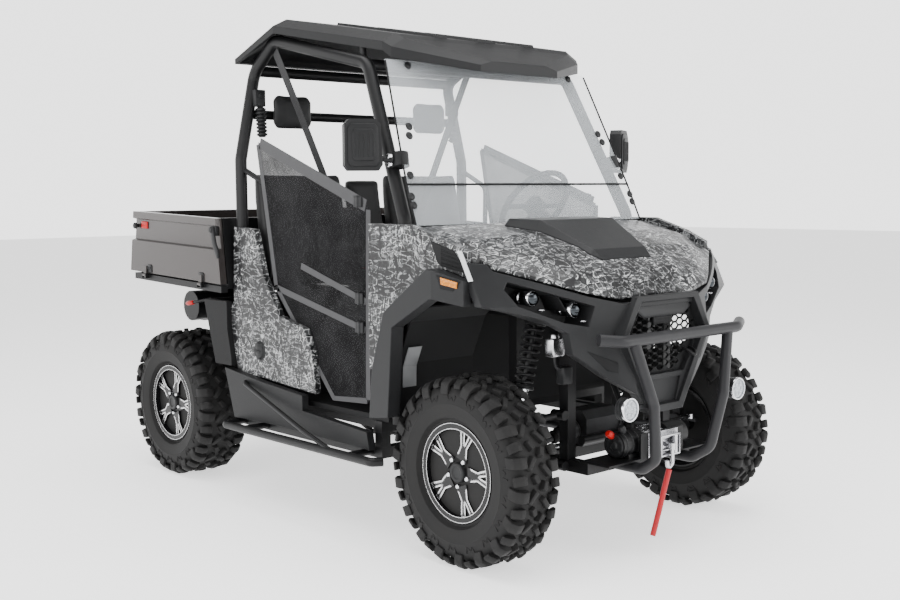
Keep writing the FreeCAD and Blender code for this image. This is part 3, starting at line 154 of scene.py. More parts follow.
class Paint:
    """One material and its nodes."""

    def __init__(self, name, **constants):
        self.material = bpy.data.materials.new(name)
        self.material.use_nodes = True
        self.tree = self.material.node_tree
        self.shader = self.tree.nodes["Principled BSDF"]
        for key, value in constants.items():
            self.shader.inputs[key.replace("_", " ").title().replace("Ior", "IOR")].default_value = value

    def feed(self, socket, value):
        if isinstance(value, Value):
            self.tree.links.new(value.socket, socket)
        else:
            socket.default_value = value

    def node(self, kind, settings=None, sockets=None, output=0):
        node = self.tree.nodes.new("ShaderNode" + kind)
        for key, value in (settings or {}).items():
            setattr(node, key, value)
        for key, value in (sockets or {}).items():
            self.feed(node.inputs[key], value)
        return Value(self, node.outputs[output])

    def place(self):
        return self.node("TexCoord", output=3)

    def axes(self, place=None):
        node = self.tree.nodes.new("ShaderNodeSeparateXYZ")
        self.feed(node.inputs[0], place or self.place())
        return [Value(self, socket) for socket in node.outputs]

    def facing(self):
        node = self.tree.nodes.new("ShaderNodeSeparateXYZ")
        self.feed(node.inputs[0], self.node("NewGeometry", output=1))
        return [Value(self, socket) for socket in node.outputs]

    def stretched(self, scale, turn=(0, 0, 0)):
        return self.node("Mapping", None, {"Vector": self.place(), "Scale": scale, "Rotation": turn})

    def noise(self, scale, detail=3, roughness=0.5, distortion=0, place=None):
        return self.node("TexNoise", None, {
            "Vector": place or self.place(), "Scale": scale, "Detail": detail, "Roughness": roughness,
            "Distortion": distortion})

    def cells(self, scale, feature="F1", place=None, output=0, randomness=1):
        return self.node("TexVoronoi", {"feature": feature}, {
            "Vector": place or self.place(), "Scale": scale, "Randomness": randomness}, output=output)

    def blend(self, share, first, second):
        """Mixes two colours."""
        node = self.tree.nodes.new("ShaderNodeMix")
        node.data_type = "RGBA"
        for index, value in ((0, share), (6, first), (7, second)):
            if not isinstance(value, Value) and index:
                value = (*value[:3], 1)
            self.feed(node.inputs[index], value)
        return Value(self, node.outputs[2])

    def bump(self, height, distance, strength=1.0, normal=None):
        sockets = {"Height": height, "Distance": distance, "Strength": strength}
        if normal:
            sockets["Normal"] = normal
        return self.node("Bump", None, sockets)

    def rounded(self, radius):
        """The normal of an edge as if it were rounded."""
        return self.node("Bevel", {"samples": 4}, {"Radius": radius})

    def set(self, **inputs):
        for key, value in inputs.items():
            self.feed(self.shader.inputs[key.replace("_", " ").title()], value)
        return self.material


def moulded_plastic(name, colour, gloss=0.42, grain=1400, depth=0.00018, edge=0.003):
    """Moulded plastic with a fine spark grain and faint flow marks."""
    paint = Paint(name, specular_ior_level=0.2)
    flow = paint.noise(6, 4)
    dust = paint.noise(38, 5)
    grains = paint.cells(grain)
    colour_light = tuple(part * 1.35 + 0.004 for part in colour[:3])
    return paint.set(
        Base_Color=paint.blend(flow * 0.6 + dust * 0.4, colour, colour_light),
        Roughness=flow * 0.12 + gloss - 0.06 + dust * 0.06,
        Normal=paint.bump(grains, depth, 0.5, paint.rounded(edge)))


def powder_coat(name, colour, gloss=0.36, edge=0.0015):
    """Powder-coated steel: a slight orange peel, and rubbed lighter in places."""
    paint = Paint(name, specular_ior_level=0.24)
    peel = paint.noise(520, 2)
    rub = paint.noise(11, 5, 0.6).ramp(0.58, 0.8)
    lighter = tuple(part * 1.8 + 0.01 for part in colour[:3])
    return paint.set(
        Base_Color=paint.blend(rub * 0.5, colour, lighter),
        Roughness=gloss + peel * 0.08 - rub * 0.06,
        Normal=paint.bump(peel, 0.0004, 0.35, paint.rounded(edge)))


def cast_metal(name, colour, metallic=0.8, gloss=0.5):
    paint = Paint(name, metallic=metallic)
    sand = paint.noise(420, 4, 0.6)
    stain = paint.noise(14, 5)
    return paint.set(
        Base_Color=paint.blend(stain, colour, tuple(part * 0.55 for part in colour[:3])),
        Roughness=gloss + sand * 0.16 - 0.08,
        Normal=paint.bump(sand, 0.0006, 0.6, paint.rounded(0.002)))


def bright_metal(name, colour, gloss=0.18):
    paint = Paint(name, metallic=1.0)
    smear = paint.noise(60, 4)
    scratch = paint.noise(260, 3, place=paint.stretched((1, 8, 1)))
    return paint.set(
        Base_Color=paint.blend(smear, colour, tuple(part * 0.8 for part in colour[:3])),
        Roughness=gloss + smear * 0.12,
        Normal=paint.bump(scratch, 0.0001, 0.3, paint.rounded(0.001)))


def camouflage():
    """A common grey woodland pattern: dark patches, bark, leaves and crossing stalks, printed on film."""
    paint = Paint("camouflage_film", coat_roughness=0.14, coat_weight=0.2, specular_ior_level=0.3)
    place = paint.place()
    warp = paint.node("TexNoise", None, {"Vector": place, "Scale": 6, "Detail": 3}, output=1)
    pushed = paint.node("VectorMath", {"operation": "MULTIPLY_ADD"}, {
        0: warp, 1: (0.075, 0.075, 0.075), 2: place})

    def laid(scale, turn):
        return paint.node("Mapping", None, {"Vector": pushed, "Scale": scale, "Rotation": turn})

    patch = paint.noise(7, 4, 0.65, place=pushed)
    bark = paint.noise(30, 8, 0.80, 0.4, laid((0.6, 0.7, 2.2), (0.8, 0.6, 0.4)))
    grain = paint.noise(80, 6, 0.80, 0.4, laid((0.6, 1, 2.0), (-0.7, 0.8, 0.5)))
    leaf_place = laid((1, 1, 2.4), (0.8, 0.2, 0.5))
    leaves = paint.cells(30, "F1", leaf_place)
    leaf_tint = paint.axes(paint.cells(30, "F1", leaf_place, output=1))[0]
    stalks = paint.cells(22, "DISTANCE_TO_EDGE", laid((0.45, 1.6, 2.0), (0.9, -0.6, 0.4)))
    straws = paint.cells(24, "DISTANCE_TO_EDGE", laid((2.0, 0.45, 1.5), (-0.4, 0.9, 0.6)))
    twigs = paint.cells(18, "DISTANCE_TO_EDGE", laid((1.7, 1.4, 0.4), (0.5, 0.4, 0.9)))
    layers = (
        (bark.ramp(0.48, 0.64), (0.080, 0.082, 0.084)),
        (bark.ramp(0.58, 0.70) * grain.ramp(0.44, 0.58), (0.42, 0.43, 0.43)),
        (leaves.ramp(0.42, 0.34) * leaf_tint.ramp(0.66, 0.70) * grain.ramp(0.35, 0.5), (0.15, 0.154, 0.157)),
        (leaves.ramp(0.40, 0.30) * leaf_tint.ramp(0.34, 0.30), (0.010, 0.0103, 0.011)),
        (stalks.ramp(0.050, 0.030) * grain.ramp(0.42, 0.54), (0.30, 0.305, 0.31)),
        (straws.ramp(0.036, 0.020) * patch.ramp(0.44, 0.54) * bark.ramp(0.40, 0.52), (0.62, 0.63, 0.63)),
        (twigs.ramp(0.056, 0.036), (0.006, 0.006, 0.007)))
    tone = paint.blend(patch.ramp(0.40, 0.62), (0.004, 0.0041, 0.0043), (0.034, 0.035, 0.036))
    for share, colour in layers:
        tone = paint.blend(share, tone, colour)
    return paint.set(
        Base_Color=tone,
        Roughness=bark * 0.1 + 0.34,
        Normal=paint.rounded(0.006))


def tyre_rubber():
    paint = Paint("tyre_rubber", specular_ior_level=0.2)
    dust = paint.noise(9, 5)
    pores = paint.noise(900, 3)
    return paint.set(
        Base_Color=paint.blend(dust, (0.006, 0.006, 0.0065), (0.017, 0.0165, 0.016)),
        Roughness=dust * 0.16 + 0.58,
        Normal=paint.bump(pores, 0.0003, 0.5))


def rim_finish():
    """Gloss black alloy: bright machined borders on the spokes, and a thin bright line round the lip."""
    paint = Paint("rim_black_machined", specular_ior_level=0.3)
    across = paint.facing()[1]
    along, side, level = paint.axes()
    from_axle = along - ((along > 0) * (AXLES["front"][0] - AXLES["rear"][0]) + AXLES["rear"][0])
    up = level - AXLE_HIGH
    square = from_axle * from_axle + up * up
    lip = square.ramp(0.1385 ** 2, 0.1395 ** 2)
    wide = abs(paint.axes(paint.node("Bevel", {"samples": 6}, {"Radius": 0.012}))[1]).ramp(0.999, 0.978)
    narrow = abs(paint.axes(paint.node("Bevel", {"samples": 6}, {"Radius": 0.005}))[1]).ramp(0.995, 0.95)
    border = wide * (1 - lip) * square.ramp(0.060 ** 2, 0.066 ** 2) + narrow * lip
    cut = abs(across).ramp(0.94, 0.98) * border * abs(side).ramp(0.624, 0.63)
    turning = paint.noise(700, 2)
    return paint.set(
        Base_Color=paint.blend(cut, (0.004, 0.004, 0.0045), (0.86, 0.86, 0.87)),
        Metallic=cut * 0.9,
        Roughness=0.22 + turning * 0.06,
        Normal=paint.bump(turning, 0.0001, 0.3, paint.rounded(0.001)))


def clear_screen():
    paint = Paint("screen_clear", base_color=(0.80, 0.84, 0.87, 1))
    haze = paint.noise(3, 2)
    return paint.set(Alpha=haze * 0.10 + 0.15, Roughness=haze * 0.06 + 0.02)


def gate_paint():
    """Brown-grey metallic paint with fine flakes."""
    paint = Paint("gate_metallic", coat_weight=0.5, coat_roughness=0.1)
    flake = paint.cells(1800, output=1)
    drift = paint.noise(4, 3)
    split = paint.axes(flake)
    return paint.set(
        Base_Color=paint.blend(split[0] * 0.5 + drift * 0.3, (0.026, 0.021, 0.020), (0.062, 0.053, 0.050)),
        Metallic=split[1] * 0.3 + 0.45,
        Roughness=drift * 0.08 + 0.34,
        Normal=paint.rounded(0.003))


def vinyl(name, colour):
    paint = Paint(name, sheen_weight=0.05, specular_ior_level=0.3)
    folds = paint.noise(26, 4)
    pores = paint.cells(620)
    return paint.set(
        Base_Color=paint.blend(folds, colour, tuple(part * 1.6 + 0.006 for part in colour[:3])),
        Roughness=folds * 0.15 + 0.42,
        Normal=paint.bump(pores, 0.0004, 0.5))


def webbing(name, colour, ribs=900):
    """Woven strap: diagonal ribs in object space."""
    paint = Paint(name, sheen_weight=0.25, sheen_roughness=0.4)
    x_place, y_place, z_place = paint.axes()
    weave = ((x_place + y_place + z_place) * ribs).sine() * ((z_place - x_place) * ribs).sine()
    worn = paint.noise(40, 4)
    return paint.set(
        Base_Color=paint.blend(worn * 0.7, colour, tuple(part * 1.7 + 0.01 for part in colour[:3])),
        Roughness=worn * 0.1 + 0.72,
        Normal=paint.bump(weave, 0.0006, 0.6))


def net_mesh():
    """Open black mesh: fine threads with see-through holes, and soft wrinkles."""
    paint = Paint("net_mesh", specular_ior_level=0.12)
    x_place, y_place, z_place = paint.axes()
    pitch = 1250
    holes = (abs((x_place * pitch).sine()) * abs((z_place * pitch).sine())).ramp(0.2, 0.45)
    folds = paint.noise(5, 4, 0.6, 1.2)
    wrinkle = paint.noise(14, 5, 0.6, 1.5)
    return paint.set(
        Base_Color=paint.blend(folds.ramp(0.35, 0.65), (0.004, 0.004, 0.0045), (0.016, 0.016, 0.017)),
        Roughness=folds * 0.1 + 0.62,
        Normal=paint.bump(wrinkle, 0.02, 0.5),
        Alpha=1 - holes * (folds * 0.5 + 0.25))


def glow_lens(name, colour, strength):
    paint = Paint(name, roughness=0.08, emission_strength=strength)
    facets = paint.cells(160)
    return paint.set(
        Base_Color=paint.blend(facets.ramp(0.2, 0.5), colour, tuple(part * 0.6 for part in colour[:3])),
        Emission_Color=paint.blend(facets.ramp(0.1, 0.6), colour, tuple(part * 0.8 for part in colour[:3])),
        Normal=paint.bump(facets, 0.001, 0.5))


# Shaping pieces as by hand


def only(*pieces):
    bpy.ops.object.select_all(action="DESELECT")
    for piece in pieces:
        piece.select_set(True)
    bpy.context.view_layer.objects.active = pieces[0]


def settle(piece):
    """Puts a piece's place into its mesh."""
    only(piece)
    bpy.ops.object.transform_apply(location=True, rotation=True, scale=True)
    return piece


def apply(piece, kind, **settings):
    only(piece)
    modifier = piece.modifiers.new(kind.lower(), kind)
    for key, value in settings.items():
        setattr(modifier, key, value)
    bpy.ops.object.modifier_apply(modifier=modifier.name)
    return piece


def soften(piece, width, segments=2, angle=30):
    """Rounds the sharp edges."""
    apply(piece, "BEVEL", width=width, segments=segments, limit_method="ANGLE",
          angle_limit=math.radians(angle), harden_normals=False)
    return smooth(piece)


def smooth(piece, angle=40):
    only(piece)
    bpy.ops.object.shade_smooth_by_angle(angle=math.radians(angle))
    return piece


def block(name, low, high, edge=0.002, segments=2):
    """A box between two corners, with rounded edges."""
    bpy.ops.object.select_all(action="DESELECT")
    middle = [(a + b) / 2 for a, b in zip(low, high)]
    bpy.ops.mesh.primitive_cube_add(size=1, location=middle)
    piece = bpy.context.object
    piece.name = name
    piece.scale = [abs(b - a) for a, b in zip(low, high)]
    settle(piece)
    return soften(piece, edge, segments) if edge else piece


POLE = 0.00001
TURN = {"X": (0, math.radians(90), 0), "Y": (math.radians(-90), 0, 0), "Z": (0, 0, 0)}


def face_out():
    """Turns every face of the active piece outwards."""
    bpy.ops.object.mode_set(mode="EDIT")
    bpy.ops.mesh.select_all(action="SELECT")
    bpy.ops.mesh.normals_make_consistent(inside=False)
    bpy.ops.object.mode_set(mode="OBJECT")


def duplicate(piece):
    only(piece)
    bpy.ops.object.duplicate()
    return bpy.context.object


def turned(name, profile, place, axis="Y", sides=32, edge=0.0, turn=None):
    """A lathe-turned form: one ring after another is extruded and resized. Points are radius and reach."""
    bpy.ops.object.select_all(action="DESELECT")
    profile = [(max(radius, POLE), reach) for radius, reach in profile]
    radius, reach = profile[0]
    bpy.ops.mesh.primitive_circle_add(vertices=sides, radius=radius, fill_type="NOTHING", location=(0, 0, reach))
    piece = bpy.context.object
    piece.name = name
    settle(piece)
    bpy.ops.object.mode_set(mode="EDIT")
    bpy.ops.mesh.select_mode(type="VERT")
    bpy.ops.mesh.select_all(action="SELECT")
    for new_radius, new_reach in profile[1:]:
        bpy.ops.mesh.extrude_region_move(TRANSFORM_OT_translate={"value": (0, 0, new_reach - reach)})
        grow = new_radius / radius
        bpy.ops.transform.resize(value=(grow, grow, 1), center_override=(0, 0, new_reach))
        radius, reach = new_radius, new_reach
    bpy.ops.mesh.select_all(action="SELECT")
    bpy.ops.mesh.remove_doubles(threshold=3 * POLE)
    bpy.ops.mesh.fill_holes(sides=0)
    bpy.ops.object.mode_set(mode="OBJECT")
    face_out()
    piece.rotation_euler = turn or TURN[axis]
    piece.location = place
    settle(piece)
    if edge:
        soften(piece, edge)
    return smooth(piece)


def aimed(start, end):
    """The turn that lays a lathe's axis from one point towards another."""
    return (Vector(end) - Vector(start)).to_track_quat("Z", "Y").to_euler()


def outline(name, corners, edge=0.0, segments=2):
    """A plate: corners in space of its front face, and its wall as a push along a direction."""
    front, push = corners
    bpy.ops.object.select_all(action="DESELECT")
    bpy.ops.mesh.primitive_circle_add(vertices=len(front), radius=1, fill_type="NGON")
    piece = bpy.context.object
    piece.name = name
    for vertex, corner in zip(piece.data.vertices, front):
        vertex.co = Vector(corner)
    bpy.ops.object.mode_set(mode="EDIT")
    bpy.ops.mesh.select_all(action="SELECT")
    bpy.ops.mesh.extrude_region_move(TRANSFORM_OT_translate={"value": push})
    bpy.ops.object.mode_set(mode="OBJECT")
    face_out()
    if edge:
        soften(piece, edge, segments)
    return piece


def pipe(name, points, radius, sides=3, smooth_line=True, keep_curve=False):
    """A wire or tube along a smooth line through space."""
    bpy.ops.object.select_all(action="DESELECT")
    bpy.ops.curve.primitive_nurbs_path_add()
    piece = bpy.context.object
    piece.name = name
    piece.data.splines.clear()
    spline = piece.data.splines.new("NURBS")
    spline.points.add(len(points) - 1)
    for point, place in zip(spline.points, points):
        point.co = (*place, 1)
    spline.order_u = 3 if smooth_line else 2
    spline.use_endpoint_u = True
    spline.resolution_u = 6
    piece.data.bevel_depth = radius
    piece.data.bevel_resolution = sides
    piece.data.use_fill_caps = True
    settle(piece)
    if keep_curve:
        return piece
    only(piece)
    bpy.ops.object.convert(target="MESH")
    return smooth(bpy.context.object)


def joined(name, pieces):
    only(*pieces)
    if len(pieces) > 1:
        bpy.ops.object.join()
    piece = bpy.context.object
    piece.name = name
    return piece


def twin(piece, name=None):
    """The other side's copy, with its own mesh."""
    other = duplicate(piece)
    other.name = name or piece.name + "_left"
    other.scale = (1, -1, 1)
    settle(other)
    face_out()
    return other


def dress(piece, finish, body, slot):
    """Gives a finished piece its material and body; the slot is not used."""
    piece.data.materials.clear()
    piece.data.materials.append(FINISH[finish])
    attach(piece, body)
    return piece


def both_hands(piece, finish, body, slot):
    """Finishes a right-hand piece and its left-hand twin."""
    dress(piece, finish, body, slot)
    left = [word.replace("right", "left") for word in (piece.name, body, slot)]
    other = dress(twin(piece, left[0] if "right" in piece.name else piece.name + "_left"), finish, *left[1:])
    return piece, other


def ribbon(name, path, width, wall, facing):
    """A flat strap along a line, square to the way it faces."""
    facing = Vector(facing).normalized()
    points = [Vector(point) for point in path]
    left, right = [], []
    for index, point in enumerate(points):
        ahead = points[min(index + 1, len(points) - 1)] - points[max(index - 1, 0)]
        across = ahead.cross(facing).normalized() * (width / 2)
        left.append(point - across)
        right.append(point + across)
    return outline(name, (left + right[::-1], facing * -wall), 0.0005, 1)


def inset(piece, direction, width, depth):
    """Insets the faces that look one way, and sinks or raises what is inside."""
    way = Vector(direction).normalized()
    bpy.ops.object.mode_set(mode="EDIT")
    bpy.ops.mesh.select_mode(type="FACE")
    bpy.ops.mesh.select_all(action="DESELECT")
    bpy.ops.object.mode_set(mode="OBJECT")
    for face in piece.data.polygons:
        face.select = face.normal.dot(way) > 0.98
    bpy.ops.object.mode_set(mode="EDIT")
    bpy.ops.mesh.inset(thickness=width, depth=depth)
    bpy.ops.object.mode_set(mode="OBJECT")
    return piece


# Finishes

FINISH = {material.name: material for material in (
    moulded_plastic("black_plastic", (0.0075, 0.0077, 0.0082)),
    moulded_plastic("satin_plastic", (0.0105, 0.0108, 0.0115), 0.36, 900, 0.0001, 0.006),
    moulded_plastic("dull_plastic", (0.0045, 0.0046, 0.005), 0.6),
    moulded_plastic("red_plastic", (0.36, 0.008, 0.008), 0.3),
    moulded_plastic("grey_plastic", (0.20, 0.205, 0.21), 0.35),
    moulded_plastic("pale_plastic", (0.55, 0.56, 0.57), 0.35),
    powder_coat("black_coat", (0.0055, 0.0055, 0.006)),
    powder_coat("charcoal_coat", (0.016, 0.016, 0.0175), 0.38),
    cast_metal("cast_dark", (0.06, 0.06, 0.063)),
    cast_metal("cast_grey", (0.3, 0.3, 0.31)),
    bright_metal("bright_steel", (0.6, 0.6, 0.62)),
    bright_metal("chrome", (0.75, 0.76, 0.78), 0.08),
    bright_metal("dark_glass", (0.045, 0.05, 0.055), 0.05),
    glow_lens("lens", (0.62, 0.66, 0.70, 1), 0.03),
    glow_lens("amber_lens", (0.80, 0.26, 0.0, 1), 0.04),
    vinyl("seat_vinyl", (0.007, 0.007, 0.0075)),
    webbing("grey_webbing", (0.026, 0.026, 0.028)),
    webbing("black_webbing", (0.009, 0.009, 0.010)),
    webbing("red_webbing", (0.30, 0.002, 0.006)),
    camouflage(), tyre_rubber(), rim_finish(), clear_screen(), gate_paint(), net_mesh())}

NODE_FINISHES = {
    "black_coat": ("frame_rails", "frame_posts", "frame_members", "hitch_receiver", "cage", "suspension_arms",
                   "shocks", "step_rails", "muffler", "steering_column", "winch", "bed_tub"),
    "charcoal_coat": ("bumper",),
    "cast_dark": ("knuckle_right", "knuckle_left", "axle_drives"),
    "cast_grey": ("engine",),
    "bright_steel": ("steering_rack", "fairlead"),
    "dull_plastic": ("floor_pan", "seat_base", "dashboard", "steering_wheel", "wheel_liners", "rear_guards", "grille"),
    "black_plastic": ("mirrors", "rocker_panels", "roof"),
    "satin_plastic": ("nose_fascia", "wheel_arches", "hood_scoop"),
    "camouflage_film": ("hood", "front_fenders", "side_panels"),
    "gate_metallic": ("gate_right", "gate_left", "tailgate"),
    "seat_vinyl": ("seat_cushions", "seat_backs", "headrests"),
    "black_webbing": ("seat_belts",),
    "red_webbing": ("pull_strap",),
    "net_mesh": ("side_nets",),
    "screen_clear": ("windshield",),
    "lens": ("lamps",),
    "tyre_rubber": [name for name in nodes if name.startswith("tyre")],
    "rim_black_machined": [name for name in nodes if name.startswith("rim")],
}


def finish_nodes():
    for finish, names in NODE_FINISHES.items():
        for name in names:
            nodes[name].data.materials.clear()
            nodes[name].data.materials.append(FINISH[finish])


# Winch strap

PULL_STRAP = [(1.260, -0.020, 0.2882), (1.256, -0.048, 0.205), (1.250, -0.066, 0.135), (1.244, -0.086, 0.066)]


def make_strap():
    """The red pull strap that hangs from the hook, a cord of its own."""
    strap = pipe("pull_strap_red", PULL_STRAP, 0.0098, 3, keep_curve=True)
    strap.data.splines[0].order_u = 3
    strap.data.splines[0].use_endpoint_u = True
    dress(strap, "red_webbing", "chassis", "pull_strap")
    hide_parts("pull_strap")


# Wheels

TYRE_PITCHES = 18


def lug(name, along, corners, width, lean=0.0):
    """A shoulder lug: its outline across the tread, cut to its width along the tread."""
    front = [(along - width / 2 + lean * level, side, level) for side, level in corners]
    return outline(name, (front, (width, 0, 0)), 0.0022, 1)


def tread_block(name, middle, size, turn, low=0.296, high=0.3165):
    """A centre block with sloped walls, turned on the tread."""
    (along, side), (length, width) = middle, size
    piece = block(name, (-length / 2, -width / 2, low), (length / 2, width / 2, high), 0)
    bpy.ops.object.mode_set(mode="EDIT")
    bpy.ops.mesh.select_mode(type="VERT")
    bpy.ops.mesh.select_all(action="DESELECT")
    bpy.ops.object.mode_set(mode="OBJECT")
    for vertex in piece.data.vertices:
        vertex.select = vertex.co.z > 0.31
    bpy.ops.object.mode_set(mode="EDIT")
    bpy.ops.transform.resize(value=(0.86, 0.8, 1), center_override=(0, 0, high))
    bpy.ops.object.mode_set(mode="OBJECT")
    piece.rotation_euler = (0, 0, turn)
    piece.location = (along, side, 0)
    settle(piece)
    return soften(piece, 0.0018, 1)


def make_tread_pitch(half):
    """Everything on the tread within one pitch, laid at the top of the wheel."""
    pitch = 2 * math.pi * 0.31 / TYRE_PITCHES
    parts = []
    for flip, start in ((-1, 0.0), (1, pitch / 4)):
        long_lug = [(half - 0.052, 0.298), (half - 0.048, 0.3165), (half - 0.022, 0.3160), (half - 0.002, 0.300),
                    (half, 0.280), (half - 0.001, 0.262), (half - 0.012, 0.262), (half - 0.014, 0.290)]
        short_lug = [(half - 0.044, 0.298), (half - 0.040, 0.3160), (half - 0.022, 0.3155), (half - 0.003, 0.299),
                     (half - 0.001, 0.286), (half - 0.014, 0.286)]
        for corners, along, width, lean in (
                (long_lug, start - pitch / 4, 0.036, 0.12), (short_lug, start + pitch / 4, 0.030, -0.12)):
            placed = [(flip * side, level) for side, level in corners]
            parts.append(lug("lug", along - lean * 0.31, placed, width, lean))
        parts.append(tread_block("block_long", (start - 0.020, flip * 0.030), (0.052, 0.020), flip * 0.7))
        parts.append(tread_block("block_short", (start + 0.030, flip * 0.018), (0.034, 0.020), flip * -0.5))
    return joined("tread_pitch", parts)


def make_tyre(name, half, rim_half):
    """Carcass and every lug of one tyre, about its own axle."""
    profile = [(0.1545, -rim_half + 0.012), (0.1545, -rim_half), (0.1675, -rim_half - 0.001),
               (0.172, -rim_half - 0.004), (0.178, -rim_half - 0.003), (0.186, -half + 0.010),
               (0.205, -half + 0.0045), (0.228, -half + 0.003),
               (0.232, -half + 0.0015), (0.236, -half + 0.003), (0.262, -half + 0.006), (0.284, -half + 0.015),
               (0.2965, -half + 0.034), (0.3005, -half + 0.060), (0.3015, 0)]
    profile += [(radius, -reach) for radius, reach in reversed(profile[:-1])]
    carcass = turned("carcass", profile + [(0.1545, 0)], (0, 0, 0), "Y", 72)
    pitch = make_tread_pitch(half)
    lugs = [pitch]
    for step in range(1, TYRE_PITCHES):
        copy = duplicate(pitch)
        copy.rotation_euler = (0, step * 2 * math.pi / TYRE_PITCHES, 0)
        lugs.append(settle(copy))
    ribs = make_sidewall_marks(half)
    tyre = joined(name, [carcass, *lugs, *ribs])
    face_out()
    return tyre


def make_sidewall_marks(half):
    """Raised zigzag ribs on both sidewalls, between the lugs."""
    marks = []
    for flip in (-1, 1):
        for step in range(TYRE_PITCHES):
            turn = step * 2 * math.pi / TYRE_PITCHES
            points = []
            for angle, radius in ((-0.07, 0.262), (-0.05, 0.244), (0.0, 0.256), (0.05, 0.240), (0.08, 0.262)):
                around = turn + angle
                points.append((radius * math.sin(around), flip * (half - 0.0045), radius * math.cos(around)))
            marks.append(pipe("rib", points, 0.0022, 1, False))
    return marks


def make_wheels():
    master = make_tyre("tyre_front_right_tread", 0.1, 0.0725)
    rear = duplicate(master)
    rear.name = "tyre_rear_right_tread"
    rear.scale = (1, 1.15, 1)
    settle(rear)
    for end, tyre in (("front", master), ("rear", rear)):
        axle, side, _ = AXLES[end]
        tyre.location = (axle, -side, AXLE_HIGH)
        settle(tyre)
        left = twin(tyre, f"tyre_{end}_left_tread")
        for hand, piece in (("right", tyre), ("left", left)):
            dress(piece, "tyre_rubber", f"wheel_{end}_{hand}", f"tyre_{end}_{hand}")
            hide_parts(f"tyre_{end}_{hand}")
        make_hub_trim(end, axle, side)


def make_hub_trim(end, axle, side):
    """Centre cap and five lug nuts."""
    face = -(side + AXLES[end][2] / 2 - 0.022)
    parts = [turned("cap", [(0.0, -0.006), (0.020, -0.006), (0.0215, -0.009), (0.031, -0.009), (0.034, -0.003),
                            (0.034, 0.012), (0.0, 0.012)], (axle, face + 0.012, AXLE_HIGH), "Y", 40, 0.0008)]
    cap = dress(joined(f"hub_cap_{end}_right", parts), "satin_plastic", f"wheel_{end}_right", f"rim_{end}_right")
    nuts = []
    for step in range(5):
        angle = math.radians(36 + 72 * step)
        place = (axle + 0.047 * math.sin(angle), face + 0.020, AXLE_HIGH + 0.047 * math.cos(angle))
        nuts.append(turned("nut", [(0.0, -0.016), (0.006, -0.016), (0.0085, -0.013), (0.0085, 0.003), (0.012, 0.006),
                                   (0.012, 0.009), (0.0, 0.009)], place, "Y", 6, 0.0006))
    nuts = dress(joined(f"lug_nuts_{end}_right", nuts), "chrome", f"wheel_{end}_right", f"rim_{end}_right")
    for piece, finish in ((cap, "satin_plastic"), (nuts, "chrome")):
        other = twin(piece, piece.name.replace("_right", "_left"))
        dress(other, finish, f"wheel_{end}_left", f"rim_{end}_left")


# Springs and boots


def coil(name, top, bottom, radius, wire, turns):
    """A coil spring between two points."""
    top, bottom = Vector(top), Vector(bottom)
    axis = (bottom - top).normalized()
    across = axis.cross(Vector((0, 1, 0))).normalized()
    other = axis.cross(across)
    steps = turns * 12
    points = []
    for step in range(steps + 1):
        angle = step * math.pi / 6
        points.append(top + (bottom - top) * (step / steps) + across * radius * math.cos(angle)
                      + other * radius * math.sin(angle))
    return pipe(name, points, wire, 2)


SHOCK_FEET = {"front_right": (0.927, -0.430, 0.462), "rear_right": (-0.943, -0.430, 0.462)}
SHOCK_HEADS = {"front_right": (0.927, -0.322, 0.826), "rear_right": (-0.943, -0.322, 0.766)}


def between(start, end, share):
    return tuple(a + (b - a) * share for a, b in zip(start, end))


def make_shock(corner):
    """Coil-over damper: chrome body below, black spring, collars and eyes."""
    foot, head = SHOCK_FEET[corner], SHOCK_HEADS[corner]
    turn = aimed(foot, head)
    reach = (Vector(head) - Vector(foot)).length
    left = corner.replace("right", "left")
    chrome = turned("chrome", [(0.0, 0.030), (0.020, 0.030), (0.022, 0.034), (0.022, reach * 0.30),
                               (0.026, reach * 0.302), (0.026, reach * 0.33), (0.0, reach * 0.33)],
                    foot, turn=turn, sides=32, edge=0.001)
    collar = turned("collar", [(0.012, reach * 0.30), (0.038, reach * 0.305), (0.040, reach * 0.315),
                               (0.038, reach * 0.335), (0.012, reach * 0.34)], foot, turn=turn, sides=32)
    top = turned("top", [(0.010, reach * 0.885), (0.035, reach * 0.89), (0.038, reach * 0.90), (0.036, reach * 0.925),
                         (0.020, reach * 0.945), (0.018, reach * 0.99), (0.0, reach * 0.99)], foot, turn=turn, sides=32)
    shaft = turned("shaft", [(0.0, reach * 0.33), (0.009, reach * 0.33), (0.009, reach * 0.9), (0.0, reach * 0.9)],
                   foot, turn=turn, sides=20)
    eyes = [turned("eye", [(0.008, -0.016), (0.019, -0.016), (0.021, -0.013), (0.021, 0.013), (0.019, 0.016),
                           (0.008, 0.016)], place, "X", 24) for place in (foot, head)]
    spring = coil("spring", between(foot, head, 0.335), between(foot, head, 0.885), 0.031, 0.0052, 8)
    for name, pieces, finish in (
            (f"shock_body_{corner}", [chrome], "chrome"),
            (f"shock_spring_{corner}", [spring, collar, top, shaft, *eyes], "black_coat")):
        piece = dress(joined(name, pieces), finish, "chassis", "shocks")
        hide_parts("shocks")
        other = dress(twin(piece, name.replace(corner, left)), finish, "chassis", "shocks")
        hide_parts("shocks")


def make_boot(name, start, end, first, last, folds=5):
    """Pleated rubber boot on a half shaft."""
    reach = (Vector(end) - Vector(start)).length
    profile = [(0.0, 0.0), (first * 0.8, 0.0), (first * 0.98, 0.004)]
    for fold in range(folds):
        share = (fold + 0.5) / folds
        radius = first + (last - first) * share
        profile += [(radius * 0.80, reach * (share - 0.32 / folds)), (radius, reach * share),
                    (radius * 0.80, reach * (share + 0.32 / folds))]
    profile += [(last * 0.95, reach - 0.004), (last * 0.8, reach), (0.0, reach)]
    return turned(name, profile, start, turn=aimed(start, end), sides=32)


